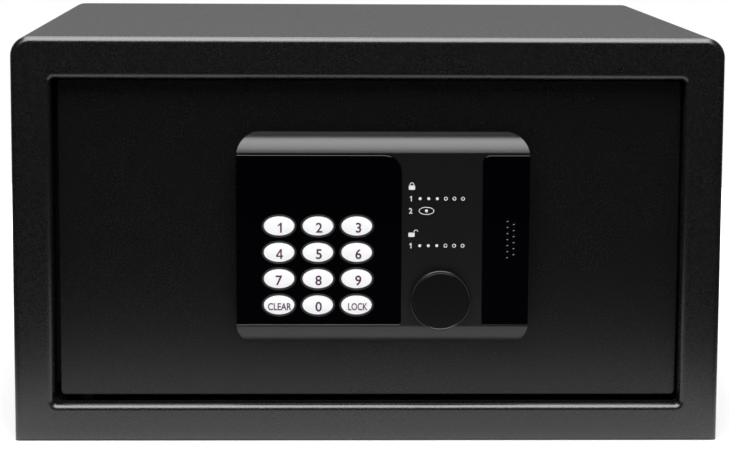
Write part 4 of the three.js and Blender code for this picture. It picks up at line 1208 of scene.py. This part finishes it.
def camera():
    """The photograph's camera: turned a little right, tipped down and rolled."""
    yaw, pitch, roll = (math.radians(camera_facts[name]) for name in ("yaw", "pitch", "roll"))
    ahead = Vector((math.sin(yaw) * math.cos(pitch), math.cos(yaw) * math.cos(pitch), -math.sin(pitch)))
    level = Vector((math.cos(yaw), -math.sin(yaw), 0.0))
    above = level.cross(ahead)
    right = level * math.cos(roll) + above * math.sin(roll)
    up = above * math.cos(roll) - level * math.sin(roll)
    lens = bpy.data.cameras.new("camera")
    lens.sensor_width = camera_facts["sensor"]
    lens.lens = camera_facts["focal_px"] / camera_facts["image_px"] * camera_facts["sensor"]
    holder = shown(lens, "camera")
    turn = Matrix((right, up, -ahead)).transposed().to_4x4()
    holder.matrix_world = Matrix.Translation(Vector(camera_facts["place"]) * MM) @ turn
    scene.camera = holder


def softbox(name, place, aim, size, power):
    """A soft rectangular lamp."""
    lamp = bpy.data.lights.new(name, "AREA")
    lamp.shape = "RECTANGLE"
    lamp.size, lamp.size_y = size
    lamp.energy = power
    holder = shown(lamp, name)
    holder.location = place
    holder.rotation_euler = (Vector(aim) - Vector(place)).to_track_quat("-Z", "Y").to_euler()


def studio_world():
    """A white backdrop behind the object and a dark room in front of it."""
    world = bpy.data.worlds.new("studio")
    world.use_nodes = True
    scene.world = world
    net = Net(world.node_tree)
    net.tree.nodes.clear()
    direction = net.wire("ShaderNodeTexCoord", "Generated")
    parts = net.add("ShaderNodeSeparateXYZ", None, {0: direction})
    behind = net.smooth_step(Wire(net, parts.outputs["Y"]), backdrop_light["from"], backdrop_light["to"])
    path = net.add("ShaderNodeLightPath")

    def ray(kind):
        return Wire(net, path.outputs[kind])

    room = backdrop_light["room"] + behind * backdrop_light["lit"]
    mirrored = (ray("Is Glossy Ray") + ray("Is Transmission Ray")) * behind
    strength = room + (1 - room) * (ray("Is Camera Ray") + mirrored * backdrop_light["mirrored"])
    light = net.wire("ShaderNodeBackground", 0, None, {"Color": (1.0, 1.0, 1.0), "Strength": strength})
    net.add("ShaderNodeOutputWorld", None, {"Surface": light})


def floor():
    """A round pale sheet that keeps the object's shadow. It is white to the camera, and its far part is dark
    to what the object mirrors, as a white table in a dark room is."""
    reach = floor_sizes["reach"]
    points = [(reach * math.cos(a), reach * math.sin(a), 0.0) for a in turn_angles(96)]
    mesh = bpy.data.meshes.new("floor")
    mesh.from_pydata(points, [], [list(range(len(points)))])
    tone = (floor_light["colour"],) * 3
    pale = Finish("floor", tone, 0.9, specular_ior_level=0.0)
    path = pale.add("ShaderNodeLightPath")
    kinds = ("Is Camera Ray", "Is Glossy Ray", "Is Transmission Ray")
    camera_ray, glossy, through = [Wire(pale, path.outputs[kind]) for kind in kinds]
    mirrored = glossy + through
    flat = pale.stretched((1.0, 1.0, 0.0))
    away = pale.wire("ShaderNodeVectorMath", "Value", {"operation": "LENGTH"}, {0: flat})
    rim = pale.smooth_step(away, floor_sizes["pale_from"], floor_sizes["pale_to"])
    parts = pale.add("ShaderNodeSeparateXYZ", None, {0: pale.place})
    beyond = 0.0
    for axis, half in (("X", cabinet.right), ("Y", cabinet_back)):
        across = Wire(pale, parts.outputs[axis])
        span = across.maths("ABSOLUTE", across, 0.0)
        beyond = beyond + span.maths("MAXIMUM", span - half * MM, 0.0)
    gone = pale.smooth_step(beyond, floor_sizes["full"], floor_sizes["gone"])
    dimmed = floor_light["dimmed"]
    left = 1 - mirrored * (dimmed + gone * (1 - dimmed - floor_light["left"]))
    pale.tint(left, (0.0, 0.0, 0.0), tone)
    pale.set("Emission Color", (1.0, 1.0, 1.0))
    # Near the foot the floor glows for mirrored rays only: a painted reflection on the cabinet's lower edge.
    contact = pale.smooth_step(beyond, 0.0, foot_glow["contact"])
    near = contact * pale.smooth_step(beyond, foot_glow["contact"], foot_glow["end"], 1.0, 0.0)
    seen = camera_ray * (floor_light["middle"] + rim * floor_light["rim"])
    pale.set("Emission Strength", seen + mirrored * near * foot_glow["strength"])
    mesh.materials.append(pale.material)
    shown(mesh, "floor")


scene.view_settings.view_transform = "Standard"
camera()
studio_world()
floor()
for name, facts in lamps.items():
    softbox(name, **facts)

dress_frame()
cabinet_body()
felt_mat()
panel_housing()
keypad_window()
key_bezels()
sound_grille()
for key in KEYS:
    key_cap(key)
    key_legend(key)
panel_marks()
lock_cap()
locking_bolts()
cover_screws()
